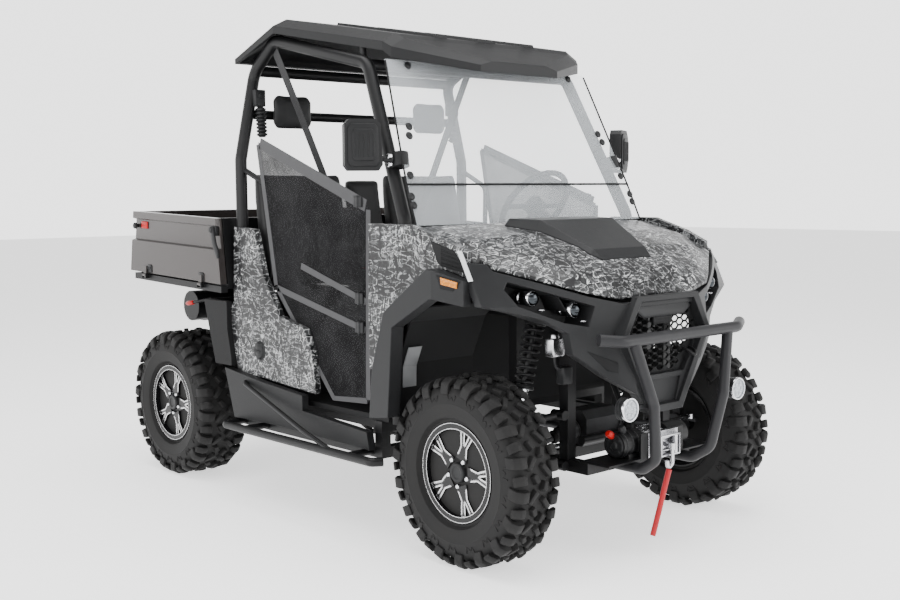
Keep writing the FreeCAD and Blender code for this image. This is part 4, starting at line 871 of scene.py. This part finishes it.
def make_boots():
    for end, bearing in (("front", 0.462), ("rear", 0.440)):
        axle = AXLES[end][0]
        inner, outer = (axle, -0.088, 0.390), (axle, -bearing, AXLE_HIGH + 0.004)
        boots = joined(f"shaft_boots_{end}_right", [
            make_boot("inner", between(inner, outer, 0.0), between(inner, outer, 0.32), 0.041, 0.023),
            make_boot("outer", between(inner, outer, 0.66), between(inner, outer, 0.95), 0.023, 0.039)])
        dress(boots, "tyre_rubber", "chassis", "axle_drives")
        dress(twin(boots, f"shaft_boots_{end}_left"), "tyre_rubber", "chassis", "axle_drives")


# Seats


def puffed(piece, limit, voxel=0.009, pressure=4.0):
    """Blows the piece up like a sewn cushion, no point moving further than the limit."""
    apply(piece, "REMESH", mode="VOXEL", voxel_size=voxel)
    rest = [vertex.co.copy() for vertex in piece.data.vertices]
    only(piece)
    cloth = piece.modifiers.new("cloth", "CLOTH")
    cloth.settings.use_pressure = True
    cloth.settings.uniform_pressure_force = pressure
    cloth.settings.effector_weights.gravity = 0
    cloth.settings.quality = 4
    cloth.point_cache.frame_start, cloth.point_cache.frame_end = 1, 20
    for step in range(1, 21):
        bpy.context.scene.frame_set(step)
    bpy.ops.object.modifier_apply(modifier=cloth.name)
    bpy.context.scene.frame_set(1)
    for vertex, start in zip(piece.data.vertices, rest):
        move = vertex.co - start
        if move.length > limit:
            vertex.co = start + move.normalized() * limit
    apply(piece, "SMOOTH", factor=0.5, iterations=6)
    only(piece)
    bpy.ops.object.shade_smooth()
    return piece


def prism_between(name, profile, low_side, high_side, edge):
    """A form with one outline seen from the side, given in X and Z."""
    front = [(along, low_side, level) for along, level in profile]
    return outline(name, (front, (0, high_side - low_side, 0)), edge, 3)


def make_seats():
    cushion = [(-0.420, 0.745), (-0.118, 0.745), (-0.106, 0.765), (-0.114, 0.806), (-0.160, 0.842),
               (-0.340, 0.830), (-0.420, 0.828)]
    back = [(-0.426, 0.852), (-0.352, 0.852), (-0.398, 1.090), (-0.441, 1.310), (-0.455, 1.326),
            (-0.478, 1.322), (-0.478, 1.205)]
    low_back = [(along, min(level, 1.303)) for along, level in back[:4]] + [(-0.478, 1.303), (-0.478, 1.205)]
    for name, profile, low, high, node in (
            ("cushion_pad_right", cushion, -0.562, -0.120, "seat_cushions"),
            ("back_pad_right", back, -0.557, -0.120, "seat_backs"),
            ("cushion_pad_middle", cushion, -0.080, 0.080, "seat_cushions"),
            ("back_pad_middle", low_back, -0.088, 0.088, "seat_backs")):
        pad = puffed(prism_between(name, profile, low, high, 0.012), 0.008)
        finish_pad(pad, node)
    front = [(-0.448, side, level) for side, level in (
        (-0.472, 1.532), (-0.454, 1.508), (-0.304, 1.508), (-0.284, 1.532), (-0.284, 1.624), (-0.304, 1.647),
        (-0.454, 1.647), (-0.472, 1.624))]
    rest = puffed(outline("headrest_pad_right", (front, (0.025, 0, 0)), 0.010, 3), 0.008, 0.006)
    finish_pad(rest, "headrests")


def finish_pad(pad, node):
    """Vinyl on a pad and, unless it is the middle one, on its left twin."""
    pads = [pad] if "middle" in pad.name else [pad, twin(pad, pad.name.replace("right", "left"))]
    for piece in pads:
        dress(piece, "seat_vinyl", "chassis", node)
        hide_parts(node)


NET_EDGE = [(-0.225, 0.869), (0.146, 0.470), (0.357, 0.480), (0.373, 1.189), (-0.336, 1.446)]
NET_AREA = abs(sum(x_a * z_b - x_b * z_a for (x_a, z_a), (x_b, z_b) in zip(NET_EDGE, NET_EDGE[1:] + NET_EDGE[:1]))) / 2


def make_net(hand):
    """A side net: cloth cut to its five corners, stretched with shallow folds."""
    side = -0.6142 if hand == "right" else 0.6142
    bpy.ops.object.select_all(action="DESELECT")
    bpy.ops.mesh.primitive_grid_add(
        x_subdivisions=48, y_subdivisions=64, size=1, location=(0.0185, side, 0.958), rotation=(math.radians(90), 0, 0))
    net = bpy.context.object
    net.name = f"side_net_{hand}"
    net.scale = (0.709, 0.976, 1)
    settle(net)
    bpy.ops.object.mode_set(mode="EDIT")
    for (x_a, z_a), (x_b, z_b) in zip(NET_EDGE, NET_EDGE[1:] + NET_EDGE[:1]):
        bpy.ops.mesh.select_all(action="SELECT")
        bpy.ops.mesh.bisect(
            plane_co=(x_a, side, z_a), plane_no=(z_b - z_a, 0, x_a - x_b), clear_outer=True)
    bpy.ops.object.mode_set(mode="OBJECT")
    for vertex in net.data.vertices:
        along, level = vertex.co.x, vertex.co.z
        fold = math.sin(along * 31 + level * 17) + 0.6 * math.sin(level * 43 - along * 12)
        vertex.co.y += 0.0007 * fold
    apply(net, "SOLIDIFY", thickness=0.0008, offset=0)
    smooth(net, 60)
    dress(net, "net_mesh", "chassis", "side_nets")
    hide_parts("side_nets")
    straps = net_straps(side, hand)


def net_straps(side, hand):
    """Grey webbing sewn round the net and across it, with its buckles."""
    out = -1 if side < 0 else 1
    face = side + out * 0.0022
    lines = (
        ([NET_EDGE[4], NET_EDGE[3]], 0.045), ([NET_EDGE[3], NET_EDGE[2]], 0.026), ([NET_EDGE[4], NET_EDGE[0]], 0.026),
        ([NET_EDGE[0], (0.355, 0.742)], 0.024), ([(-0.060, 0.964), (0.360, 0.845)], 0.024),
        ([NET_EDGE[0], NET_EDGE[1], NET_EDGE[2]], 0.022))
    webs, buckles = [], []
    for line, width in lines:
        (x_a, z_a), (x_b, z_b) = line[0], line[-1]
        reach = math.hypot(x_b - x_a, z_b - z_a)
        trim = width * 0.35 / reach
        ends = [((x_a + (x_b - x_a) * trim), face, z_a + (z_b - z_a) * trim)]
        ends += [(along, face, level) for along, level in line[1:-1]]
        ends.append((x_b - (x_b - x_a) * trim, face, z_b - (z_b - z_a) * trim))
        webs.append(ribbon("web", ends, width, 0.0016, (0, out, 0)))
    along = 0.318
    for level in (1.209, 0.858, 0.752):
        for part, depth, half_length, half_height, edge in (
                ("buckle", (0.0002, 0.0075), 0.024, 0.020, 0.003), ("bar", (0.0070, 0.0095), 0.006, 0.023, 0.001)):
            low, high = sorted(face + out * step for step in depth)
            buckles.append(block(part, (along - half_length, low, level - half_height),
                                 (along + half_length, high, level + half_height), edge))
    web = dress(joined(f"net_webbing_{hand}", webs), "grey_webbing", "chassis", "side_nets")
    buckle = dress(joined(f"net_buckles_{hand}", buckles), "satin_plastic", "chassis", "side_nets")
    return [web, buckle]


BELT_TOP, BELT_LOW = (-0.322, -0.546, 1.838), (-0.330, -0.100, 0.862)


def make_belts():
    """Shoulder webbing in front of each seat back, the short strap under its buckle, the buckle and its red button."""
    way = (Vector(BELT_LOW) - Vector(BELT_TOP)).normalized()
    facing = Vector((1, 0, 0)).cross(way).normalized()
    points = []
    for step in range(9):
        share = step / 8
        point = Vector(BELT_TOP).lerp(Vector(BELT_LOW), share) + facing * 0.006 * math.sin(math.pi * share)
        points.append(point)
    belt = ribbon("seat_belt_right", points, 0.046, 0.0022, facing)
    tail = outline("tail", ([(-0.352, -0.1015, 0.745), (-0.308, -0.1015, 0.745), (-0.308, -0.1015, 0.866),
                             (-0.352, -0.1015, 0.866)], (0, 0.0022, 0)), 0.0005, 1)
    belt = joined("seat_belt_right", [belt, tail])
    for piece in both_hands(belt, "black_webbing", "chassis", "seat_belts"):
        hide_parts("seat_belts")
    buckle = block("belt_buckle_right", (-0.356, -0.1050, 0.842), (-0.304, -0.0905, 0.916), 0.005, 3)
    both_hands(buckle, "satin_plastic", "chassis", "seat_belts")
    button = block("belt_button_right", (-0.348, -0.1020, 0.912), (-0.312, -0.0935, 0.921), 0.002, 2)
    both_hands(button, "red_plastic", "chassis", "seat_belts")


# Screen, belt sleeves and mirrors


def screen_point(side, level, proud=0.0):
    """A point on the front face of the screen."""
    lean = math.radians(22.8)
    along = 0.620 - (level - 1.114) * math.tan(lean)
    return (along + 0.005 / math.cos(lean) + proud * math.cos(lean), side, level + proud * math.sin(lean))


def screen_stud(side, level):
    place = screen_point(side, level)
    profile = [(0.0, -0.001), (0.013, -0.001), (0.015, 0.002), (0.013, 0.006), (0.006, 0.0085), (0.0, 0.0085)]
    return turned("stud", profile, place, turn=aimed(place, screen_point(side, level, 0.1)), sides=24)


def make_screen_trim():
    studs = []
    for side, level in ((0.508, 1.473), (0.519, 1.440), (0.588, 1.226), (0.588, 1.196), (0.566, 1.300), (0.430, 1.700)):
        for hand in (-1, 1):
            studs.append(screen_stud(hand * side, level))
    dress(joined("screen_studs", studs), "satin_plastic", "chassis", "windshield")
    split = [screen_point(side, 1.2672, 0.003) for side in (-0.594, -0.2, 0.2, 0.594)]
    seal = pipe("screen_split_seal", split, 0.004, 2, False)
    dress(seal, "dull_plastic", "chassis", "windshield")
    for hand in (-1, 1):
        trim = pipe("trim", [screen_point(hand * side, level, 0.001) for side, level in
                             ((0.603, 1.130), (0.594, 1.268), (0.531, 1.712))], 0.0035, 2, False)
        name = "screen_edge_right" if hand < 0 else "screen_edge_left"
        dress(joined(name, [trim]), "dull_plastic", "chassis", "windshield")


def make_belt_sleeves():
    """The pleated sleeve and its bracket beside each rear pillar."""
    profile = [(0.0, 0.0), (0.013, 0.0)]
    for fold in range(8):
        low = 0.004 + fold * 0.0145
        profile += [(0.015, low), (0.022, low + 0.004), (0.022, low + 0.0095), (0.015, low + 0.0135)]
    profile += [(0.012, 0.122), (0.012, 0.132), (0.0, 0.132)]
    start = (-0.436, -0.528, 1.472)
    sleeve = turned("sleeve", profile, start, turn=aimed(start, (-0.444, -0.530, 1.600)), sides=28)
    bracket = block("bracket", (-0.474, -0.560, 1.596), (-0.430, -0.512, 1.664), 0.003)
    pin = turned("pin", [(0.0, -0.004), (0.008, -0.004), (0.009, 0.0), (0.007, 0.004), (0.0, 0.004)],
                 (-0.428, -0.536, 1.640), "X", 16)
    both_hands(joined("belt_sleeve_right", [sleeve, bracket, pin]), "satin_plastic", "chassis", "seat_belts")


MIRROR_TURN = math.radians(-27)


def mirror_point(along, across, up):
    """A point given from the middle of the right mirror's housing, as it is turned."""
    return (0.436 + along * math.cos(MIRROR_TURN) - across * math.sin(MIRROR_TURN),
            -0.688 + along * math.sin(MIRROR_TURN) + across * math.cos(MIRROR_TURN), 1.406 + up)


def mirror_plate(name, along, shrink, wall):
    corners = [(-0.066, -0.071), (-0.052, -0.089), (0.054, -0.089), (0.068, -0.068), (0.062, 0.072), (0.046, 0.089),
               (-0.050, 0.089), (-0.066, 0.070)]
    front = [mirror_point(along, across * shrink, up * shrink) for across, up in corners]
    push = Vector(mirror_point(wall, 0, 0)) - Vector(mirror_point(0, 0, 0))
    return outline(name, (front, push), min(abs(wall) * 0.45, 0.003), 2)


def make_mirror_trim():
    """Glass behind a rim at the back, and stepped shells with ribs in front."""
    both_hands(mirror_plate("mirror_glass_right", -0.0235, 0.88, -0.0015), "chrome", "chassis", "mirrors")
    steps = [mirror_plate("step", 0.0235, 0.84, 0.006), mirror_plate("step", 0.029, 0.62, 0.005)]
    for across in (-0.034, -0.017, 0.0, 0.017, 0.034):
        start, end = mirror_point(0.0345, across, -0.040), mirror_point(0.0345, across, 0.040)
        steps.append(pipe("rib", [start, end], 0.0022, 2, False))
    both_hands(joined("mirror_shell_right", steps), "black_plastic", "chassis", "mirrors")
    bolt = [(0.0, -0.012), (0.006, -0.012), (0.0095, -0.009), (0.0095, 0.002), (0.006, 0.005), (0.0, 0.005)]
    clamp = [turned("bolt", bolt, (0.496, -0.612, level), "Y", 6) for level in (1.338, 1.368)]
    both_hands(joined("mirror_bolts_right", clamp), "bright_steel", "chassis", "mirrors")


# Nose, lamps, panels, bed and winch


def scaled(radius, reach, profile):
    """A lathe profile given in shares of a lamp's radius and of its reach behind the lens."""
    return [(radius * across, -reach * back) for across, back in profile]


def head_lamp(place, radius, reach):
    """A chrome projector: a finned can, a bright collar and a domed lens."""
    can = scaled(radius, reach, [(0.0, 1), (0.7, 1), (0.86, 0.85), (0.86, 0.6), (0.7, 0.56), (0.9, 0.5), (0.96, 0.34),
                                 (1, 0.26)])
    can += [(radius, -0.004), (radius * 0.9, 0.0), (radius * 0.86, -0.004), (0.0, -0.005)]
    dome = [(radius * across, back) for across, back in (
        (0.88, -0.004), (0.84, 0.004), (0.66, 0.010), (0.42, 0.0135), (0.16, 0.015), (0.0, 0.0152))]
    return turned("can", can, place, "X", 48), turned("dome", dome, place, "X", 48)


def work_lamp(place, radius, reach):
    """A round work lamp: finned can, aluminium ring, and six bulbs behind a flat lens."""
    can = scaled(radius, reach, [(0.0, 1), (0.7, 1), (0.94, 0.9), (0.94, 0.8), (0.84, 0.76), (0.84, 0.66), (0.94, 0.62),
                                 (0.94, 0.5), (0.84, 0.46), (0.84, 0.36), (0.98, 0.32)])
    can += [(radius * 0.98, -0.003), (radius * 0.8, -0.008), (0.0, -0.010)]
    ring, lens = ([(radius * across, back) for across, back in profile] for profile in (
        ((0.99, -0.008), (1, -0.002), (0.97, 0.001), (0.86, 0.001), (0.82, -0.006)),
        ((0.82, -0.006), (0.78, -0.003), (0.4, -0.002), (0.0, -0.002))))
    can, ring, lens = (turned(name, profile, place, "X", 48) for name, profile in (
        ("can", can), ("ring", ring), ("lens", lens)))
    bulbs = []
    for step in range(6):
        angle = step * math.pi / 3
        middle = Vector(place) + Vector((-0.001, radius * 0.48 * math.cos(angle), radius * 0.48 * math.sin(angle)))
        bulbs.append(turned("bulb", [(0.0, -0.003), (radius * 0.2, -0.002), (radius * 0.16, 0.0015), (0.0, 0.003)],
                            middle, "X", 12))
    return can, ring, joined("lens", [lens, *bulbs])


def make_lamps():
    groups = {"lamp_collars": ("chrome", []), "lamp_cans": ("satin_plastic", []), "lamp_lenses": ("lens", []),
              "lamp_domes": ("dark_glass", [])}
    for place in ((1.060, -0.481, 0.893), (1.125, -0.350, 0.851)):
        can, dome = head_lamp(place, 0.027, 0.084)
        groups["lamp_collars"][1].append(can)
        groups["lamp_domes"][1].append(dome)
    can, ring, lens = work_lamp((1.319, -0.298, 0.537), 0.040, 0.041)
    groups["lamp_cans"][1].append(can)
    groups["lamp_collars"][1].append(ring)
    groups["lamp_lenses"][1].append(lens)
    groups["lamp_cans"][1].append(block("tail", (-1.2085, -0.400, 0.650), (-1.167, -0.281, 0.712), 0.004))
    for name, (finish, pieces) in groups.items():
        for lamp in both_hands(joined(name + "_right", pieces), finish, "chassis", "lamps"):
            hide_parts("lamps")
    tail = block("tail_lens_right", (-1.2118, -0.394, 0.656), (-1.2075, -0.287, 0.706), 0.0015)
    for lamp in both_hands(inset(tail, (-1, 0, 0), 0.006, -0.0015), "red_plastic", "chassis", "lamps"):
        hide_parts("lamps")


def make_pod_fins():
    """Slanted fins that part the lamps' pods, and a bright adjuster under each lamp."""
    fins = []
    for (x_top, y_top, z_top), (x_low, y_low, z_low), back in (
            ((1.086, -0.416, 0.926), (1.110, -0.378, 0.846), 1.015),
            ((1.146, -0.297, 0.878), (1.160, -0.256, 0.806), 1.080)):
        front = [(x_top, y_top, z_top), (x_low, y_low, z_low), (back, y_low, z_low), (back, y_top, z_top)]
        fins.append(outline("fin", (front, (0, 0.005, 0.002)), 0.0012, 2))
    both_hands(joined("pod_fins_right", fins), "dull_plastic", "chassis", "nose_fascia")
    knobs = []
    for place in ((1.072, -0.455, 0.8545), (1.137, -0.325, 0.8135)):
        knobs.append(turned("knob", [(0.0, -0.003), (0.013, -0.003), (0.015, 0.0), (0.013, 0.003), (0.006, 0.0045),
                                     (0.0, 0.0045)], place, "Z", 24))
    both_hands(joined("lamp_adjusters_right", knobs), "bright_steel", "chassis", "nose_fascia")


def make_name_bar():
    """The blank bar over the mesh, with a sunk face, and the latch block below it."""
    front = [(1.2045, side, level) for side, level in (
        (-0.132, 0.862), (-0.150, 0.838), (-0.108, 0.812), (0.108, 0.812), (0.150, 0.838), (0.132, 0.862))]
    bar = outline("name_bar", (front, (0.014, 0, 0)), 0.004, 2)
    dress(inset(bar, (1, 0, 0), 0.008, -0.003), "satin_plastic", "chassis", "grille")
    latch = block("bar_latch", (1.203, -0.052, 0.786), (1.214, 0.052, 0.813), 0.004)
    dress(inset(latch, (1, 0, 0), 0.006, -0.002), "dull_plastic", "chassis", "grille")
    bend = [(1.204, 0.122, 0.690), (1.234, 0.122, 0.682), (1.246, 0.141, 0.664), (1.234, 0.160, 0.682),
            (1.204, 0.160, 0.690)]
    dress(pipe("grille_hook", bend, 0.0055, 3), "black_coat", "chassis", "grille")


def surface_plate(name, corners, push, finish, body, slot, edge=0.0008):
    return both_hands(outline(name + "_right", (corners, push), edge, 2), finish, body, slot)


WING = Vector((0.29, -0.957, 0))
ARCH = Vector((0.31, -0.951, 0))
CHEEK = Vector((0.94, -0.34, 0))


def make_fender_details():
    """Side vents with their pale slash, amber markers, cheek inserts and blank liner plates."""
    vents = []
    flat = [(0.768, -0.6645, 1.081), (0.822, -0.6645, 1.066), (0.822, -0.6645, 0.996), (0.803, -0.6645, 1.009)]
    slope = [(0.820, -0.6645, 1.066), (0.866, -0.6507, 1.051), (0.925, -0.6330, 0.972), (0.820, -0.6645, 0.998)]
    vents.append(outline("vent", (flat, (0, -0.003, 0)), 0.0008, 1))
    vents.append(outline("vent", (slope, WING * 0.003), 0.0008, 1))
    for share in (0.2, 0.4, 0.6, 0.8):
        start, end = Vector(slope[0]).lerp(Vector(slope[3]), share), Vector(slope[1]).lerp(Vector(slope[2]), share)
        vents.append(pipe("vent_rib", [start + WING * 0.0035, end + WING * 0.0035], 0.0018, 2, False))
    both_hands(joined("fender_vent_right", vents), "dull_plastic", "chassis", "front_fenders")
    slash = [(0.886, -0.6520, 1.048), (0.902, -0.6470, 1.050), (0.968, -0.6600, 0.956), (0.954, -0.6670, 0.953)]
    surface_plate("fender_slash", slash, WING * 0.004, "pale_plastic", "chassis", "front_fenders")
    plate = [(0.849, -0.7140, 0.973), (0.937, -0.6855, 0.955), (0.908, -0.6945, 0.921), (0.864, -0.7090, 0.928)]
    surface_plate("marker_base", plate, ARCH * 0.002, "dull_plastic", "chassis", "wheel_arches")
    lens = [(0.866, -0.7090, 0.966), (0.926, -0.6890, 0.951), (0.924, -0.6900, 0.931), (0.868, -0.7085, 0.943)]
    surface_plate("marker_lens", lens, ARCH * 0.006, "amber_lens", "chassis", "wheel_arches", 0.0015)
    cheek = [(1.1575, -0.3290, 0.716), (1.1975, -0.2185, 0.671), (1.1985, -0.2155, 0.636), (1.1840, -0.2560, 0.645)]
    surface_plate("cheek_insert", cheek, CHEEK * 0.0015, "dull_plastic", "chassis", "nose_fascia")
    high = [(0.5860, -0.615, 0.703), (0.5860, -0.553, 0.703), (0.5545, -0.553, 0.633), (0.5545, -0.615, 0.633)]
    low = [(0.5540, -0.615, 0.634), (0.5540, -0.553, 0.634), (0.5515, -0.553, 0.558), (0.5515, -0.615, 0.558)]
    plates = [outline("plate", (corners, (0.0035, 0, -0.0008)), 0.0006, 1) for corners in (high, low)]
    both_hands(joined("liner_plate_right", plates), "grey_plastic", "chassis", "wheel_liners")


BED_PITCH = math.radians(2)


def bed_point(along, side, up):
    """A point given from the bed's hinge, along the bed, across and up from its bottom."""
    return (-1.215 + along * math.cos(BED_PITCH) + up * math.sin(BED_PITCH), side,
            0.800 - along * math.sin(BED_PITCH) + up * math.cos(BED_PITCH))


def bed_plate(name, shape, face, wall, edge=0.001):
    front = [bed_point(along, face, up) for along, up in shape]
    return outline(name, (front, (0, -wall, 0)), edge, 2)


def make_gate_details():
    """Reflector, latch with its long handle, knob, hinge leaves and rivets on each side gate."""
    plate = [(0.622, 0.292), (0.622, 0.344), (0.664, 0.344), (0.664, 0.292)]
    handle = [(0.634, 0.330), (0.656, 0.330), (0.676, 0.262), (0.694, 0.236), (0.700, 0.204), (0.686, 0.200),
              (0.668, 0.228), (0.648, 0.262)]
    latch = [bed_plate("plate", plate, -0.6815, 0.016, 0.003), bed_plate("handle", handle, -0.6980, 0.010, 0.003),
             turned("pivot", [(0.0, -0.008), (0.009, -0.008), (0.012, -0.005), (0.012, 0.004), (0.0, 0.006)],
                    bed_point(0.645, -0.706, 0.316), "Y", 24)]
    for along in (0.105, 0.552):
        latch.append(bed_plate("leaf", [(along - 0.022, 0.097), (along - 0.022, 0.128), (along - 0.015, 0.134),
                                        (along + 0.015, 0.134), (along + 0.022, 0.128), (along + 0.022, 0.097)],
                               -0.7000, 0.003))
        for step in (-0.010, 0.010):
            latch.append(turned("rivet", [(0.0055, -0.001), (0.0055, 0.001), (0.003, 0.003), (0.0, 0.0035)],
                                bed_point(along + step, -0.7030, 0.117), turn=(math.radians(90), 0, 0), sides=12))
    latch.append(turned("knob", [(0.0, -0.010), (0.008, -0.010), (0.008, 0.002), (0.014, 0.004), (0.014, 0.012),
                                 (0.010, 0.016), (0.0, 0.016)], bed_point(-0.030, -0.690, 0.300),
                        turn=(math.radians(90), 0, 0), sides=24, edge=0.001))
    both_hands(joined("gate_fittings_right", latch), "satin_plastic", "side_gate_right", "gate_right")
    mirror = bed_plate("gate_reflector_right", [(0.006, 0.290), (0.006, 0.322), (0.062, 0.322), (0.062, 0.290)],
                       -0.6815, 0.006, 0.002)
    both_hands(mirror, "red_plastic", "side_gate_right", "gate_right")
    lever = pipe("lever", [(-0.905, -0.600, 0.765), (-0.860, -0.600, 0.772), (-0.780, -0.580, 0.790)], 0.006, 3)
    dress(lever, "black_coat", "bed", "bed_tub")
    lever.name = "dump_lever"
    grip = [(0.0, 0.0), (0.008, 0.0), (0.010, 0.006), (0.010, 0.052), (0.007, 0.060), (0.0, 0.060)]
    start, end = (-0.902, -0.600, 0.7655), (-0.962, -0.600, 0.757)
    dress(turned("dump_lever_grip", grip, start, turn=aimed(start, end), sides=20), "red_plastic", "bed", "bed_tub")


def make_winch_details():
    """Wound wire on the drum, the motor's end cap with its hex face, bolts and terminals."""
    drum = (1.150, 0.0, 0.377)
    half, turns = 0.0665, 22
    pitch = 2 * half / turns
    coils = [(0.0, -half)]
    for step in range(turns):
        low = -half + step * pitch
        coils += [(0.0275, low + 0.0002), (0.0312, low + pitch * 0.3), (0.0312, low + pitch * 0.7),
                  (0.0275, low + pitch - 0.0002)]
    coils.append((0.0, half))
    dress(turned("winch_winding", coils, drum, "Y", 32), "bright_steel", "chassis", "winch")
    along, _, level = drum
    parts = [turned("cap", [(0.0, -0.0035), (0.036, -0.0035), (0.040, 0.0), (0.040, 0.003)], (along, -0.1785, level),
                    "Y", 48),
             turned("hex_face", [(0.0, -0.005), (0.014, -0.005), (0.016, -0.003), (0.016, 0.002)],
                    (along, -0.1815, level), "Y", 6, 0.0008)]
    for step in range(4):
        angle = math.radians(45 + 90 * step)
        place = (along + 0.030 * math.cos(angle), -0.1820, level + 0.030 * math.sin(angle))
        parts.append(turned("bolt", [(0.0, -0.003), (0.004, -0.003), (0.0046, -0.002), (0.0046, 0.002)], place, "Y", 6))
    for side in (-0.100, -0.130, -0.160):
        parts.append(turned("band", [(0.0455, -0.004), (0.0465, -0.003), (0.0465, 0.003), (0.0455, 0.004)],
                            (along, side, level), "Y", 48))
    dress(joined("winch_motor_trim", parts), "satin_plastic", "chassis", "winch")
    post = [(0.0, 0.0), (0.011, 0.0), (0.0135, 0.003), (0.0135, 0.020), (0.010, 0.027), (0.0, 0.029)]
    for name, finish, start, end in (
            ("winch_terminal_red", "red_plastic", (1.140, -0.176, 0.408), (1.135, -0.213, 0.428)),
            ("winch_terminal_black", "satin_plastic", (1.165, -0.150, 0.420), (1.165, -0.168, 0.452))):
        dress(turned(name, post, start, turn=aimed(start, end), sides=20), finish, "chassis", "winch")


def make_side_fittings():
    """The fuel cap on the right side panel, with its grip rib."""
    cap = turned("fuel_cap", [(0.0, -0.014), (0.022, -0.014), (0.026, -0.011), (0.030, -0.010), (0.033, -0.004),
                              (0.036, -0.001), (0.040, 0.0), (0.040, 0.002)], (-0.313, -0.642, 0.610), "Y", 40)
    rib = block("rib", (-0.335, -0.6600, 0.6065), (-0.291, -0.6540, 0.6135), 0.002)
    dress(joined("fuel_cap", [cap, rib]), "satin_plastic", "chassis", "side_panels")


def make_reservoirs():
    """The bright reservoir and the small relay box on the right front tower, with its hose."""
    tank = block("tank", (1.008, -0.374, 0.688), (1.050, -0.316, 0.750), 0.006)
    lid = turned("lid", [(0.0, 0.012), (0.014, 0.012), (0.016, 0.009), (0.016, -0.003)], (1.029, -0.345, 0.752),
                 "Z", 24)
    dress(joined("front_reservoir", [inset(tank, (1, 0, 0), 0.006, 0.0015), lid]), "bright_steel", "chassis",
          "frame_posts")
    holder = [block("holder", (1.014, -0.322, 0.700), (1.042, -0.279, 0.712), 0.002),
              block("holder", (1.014, -0.322, 0.730), (1.042, -0.279, 0.742), 0.002),
              block("relay", (1.016, -0.325, 0.590), (1.052, -0.279, 0.650), 0.005)]
    hose = pipe("hose", [(1.029, -0.345, 0.690), (1.030, -0.350, 0.660), (1.036, -0.330, 0.640),
                         (1.036, -0.310, 0.645)], 0.005, 4)
    dress(joined("front_relay", [*holder, hose]), "satin_plastic", "chassis", "frame_posts")


def lay_floor():
    """A plain pale floor just under the tyres."""
    bpy.ops.object.select_all(action="DESELECT")
    bpy.ops.mesh.primitive_plane_add(size=60, location=(0, 0, -0.0005))
    floor = bpy.context.object
    floor.name = "floor"
    paint = Paint("pale_floor", roughness=0.9, emission_strength=1.1)
    dust = paint.noise(2, 2)
    floor.data.materials.append(paint.set(Base_Color=paint.blend(dust, (0.91, 0.91, 0.91), (0.93, 0.93, 0.93))))


place_camera()
light_studio()
make_strap()
finish_nodes()
make_wheels()
for corner in SHOCK_FEET:
    make_shock(corner)
make_boots()
make_seats()
for hand in ("right", "left"):
    make_net(hand)
make_belts()
make_belt_sleeves()
make_screen_trim()
make_mirror_trim()
make_lamps()
make_pod_fins()
make_name_bar()
make_fender_details()
make_gate_details()
make_winch_details()
make_side_fittings()
make_reservoirs()
lay_floor()
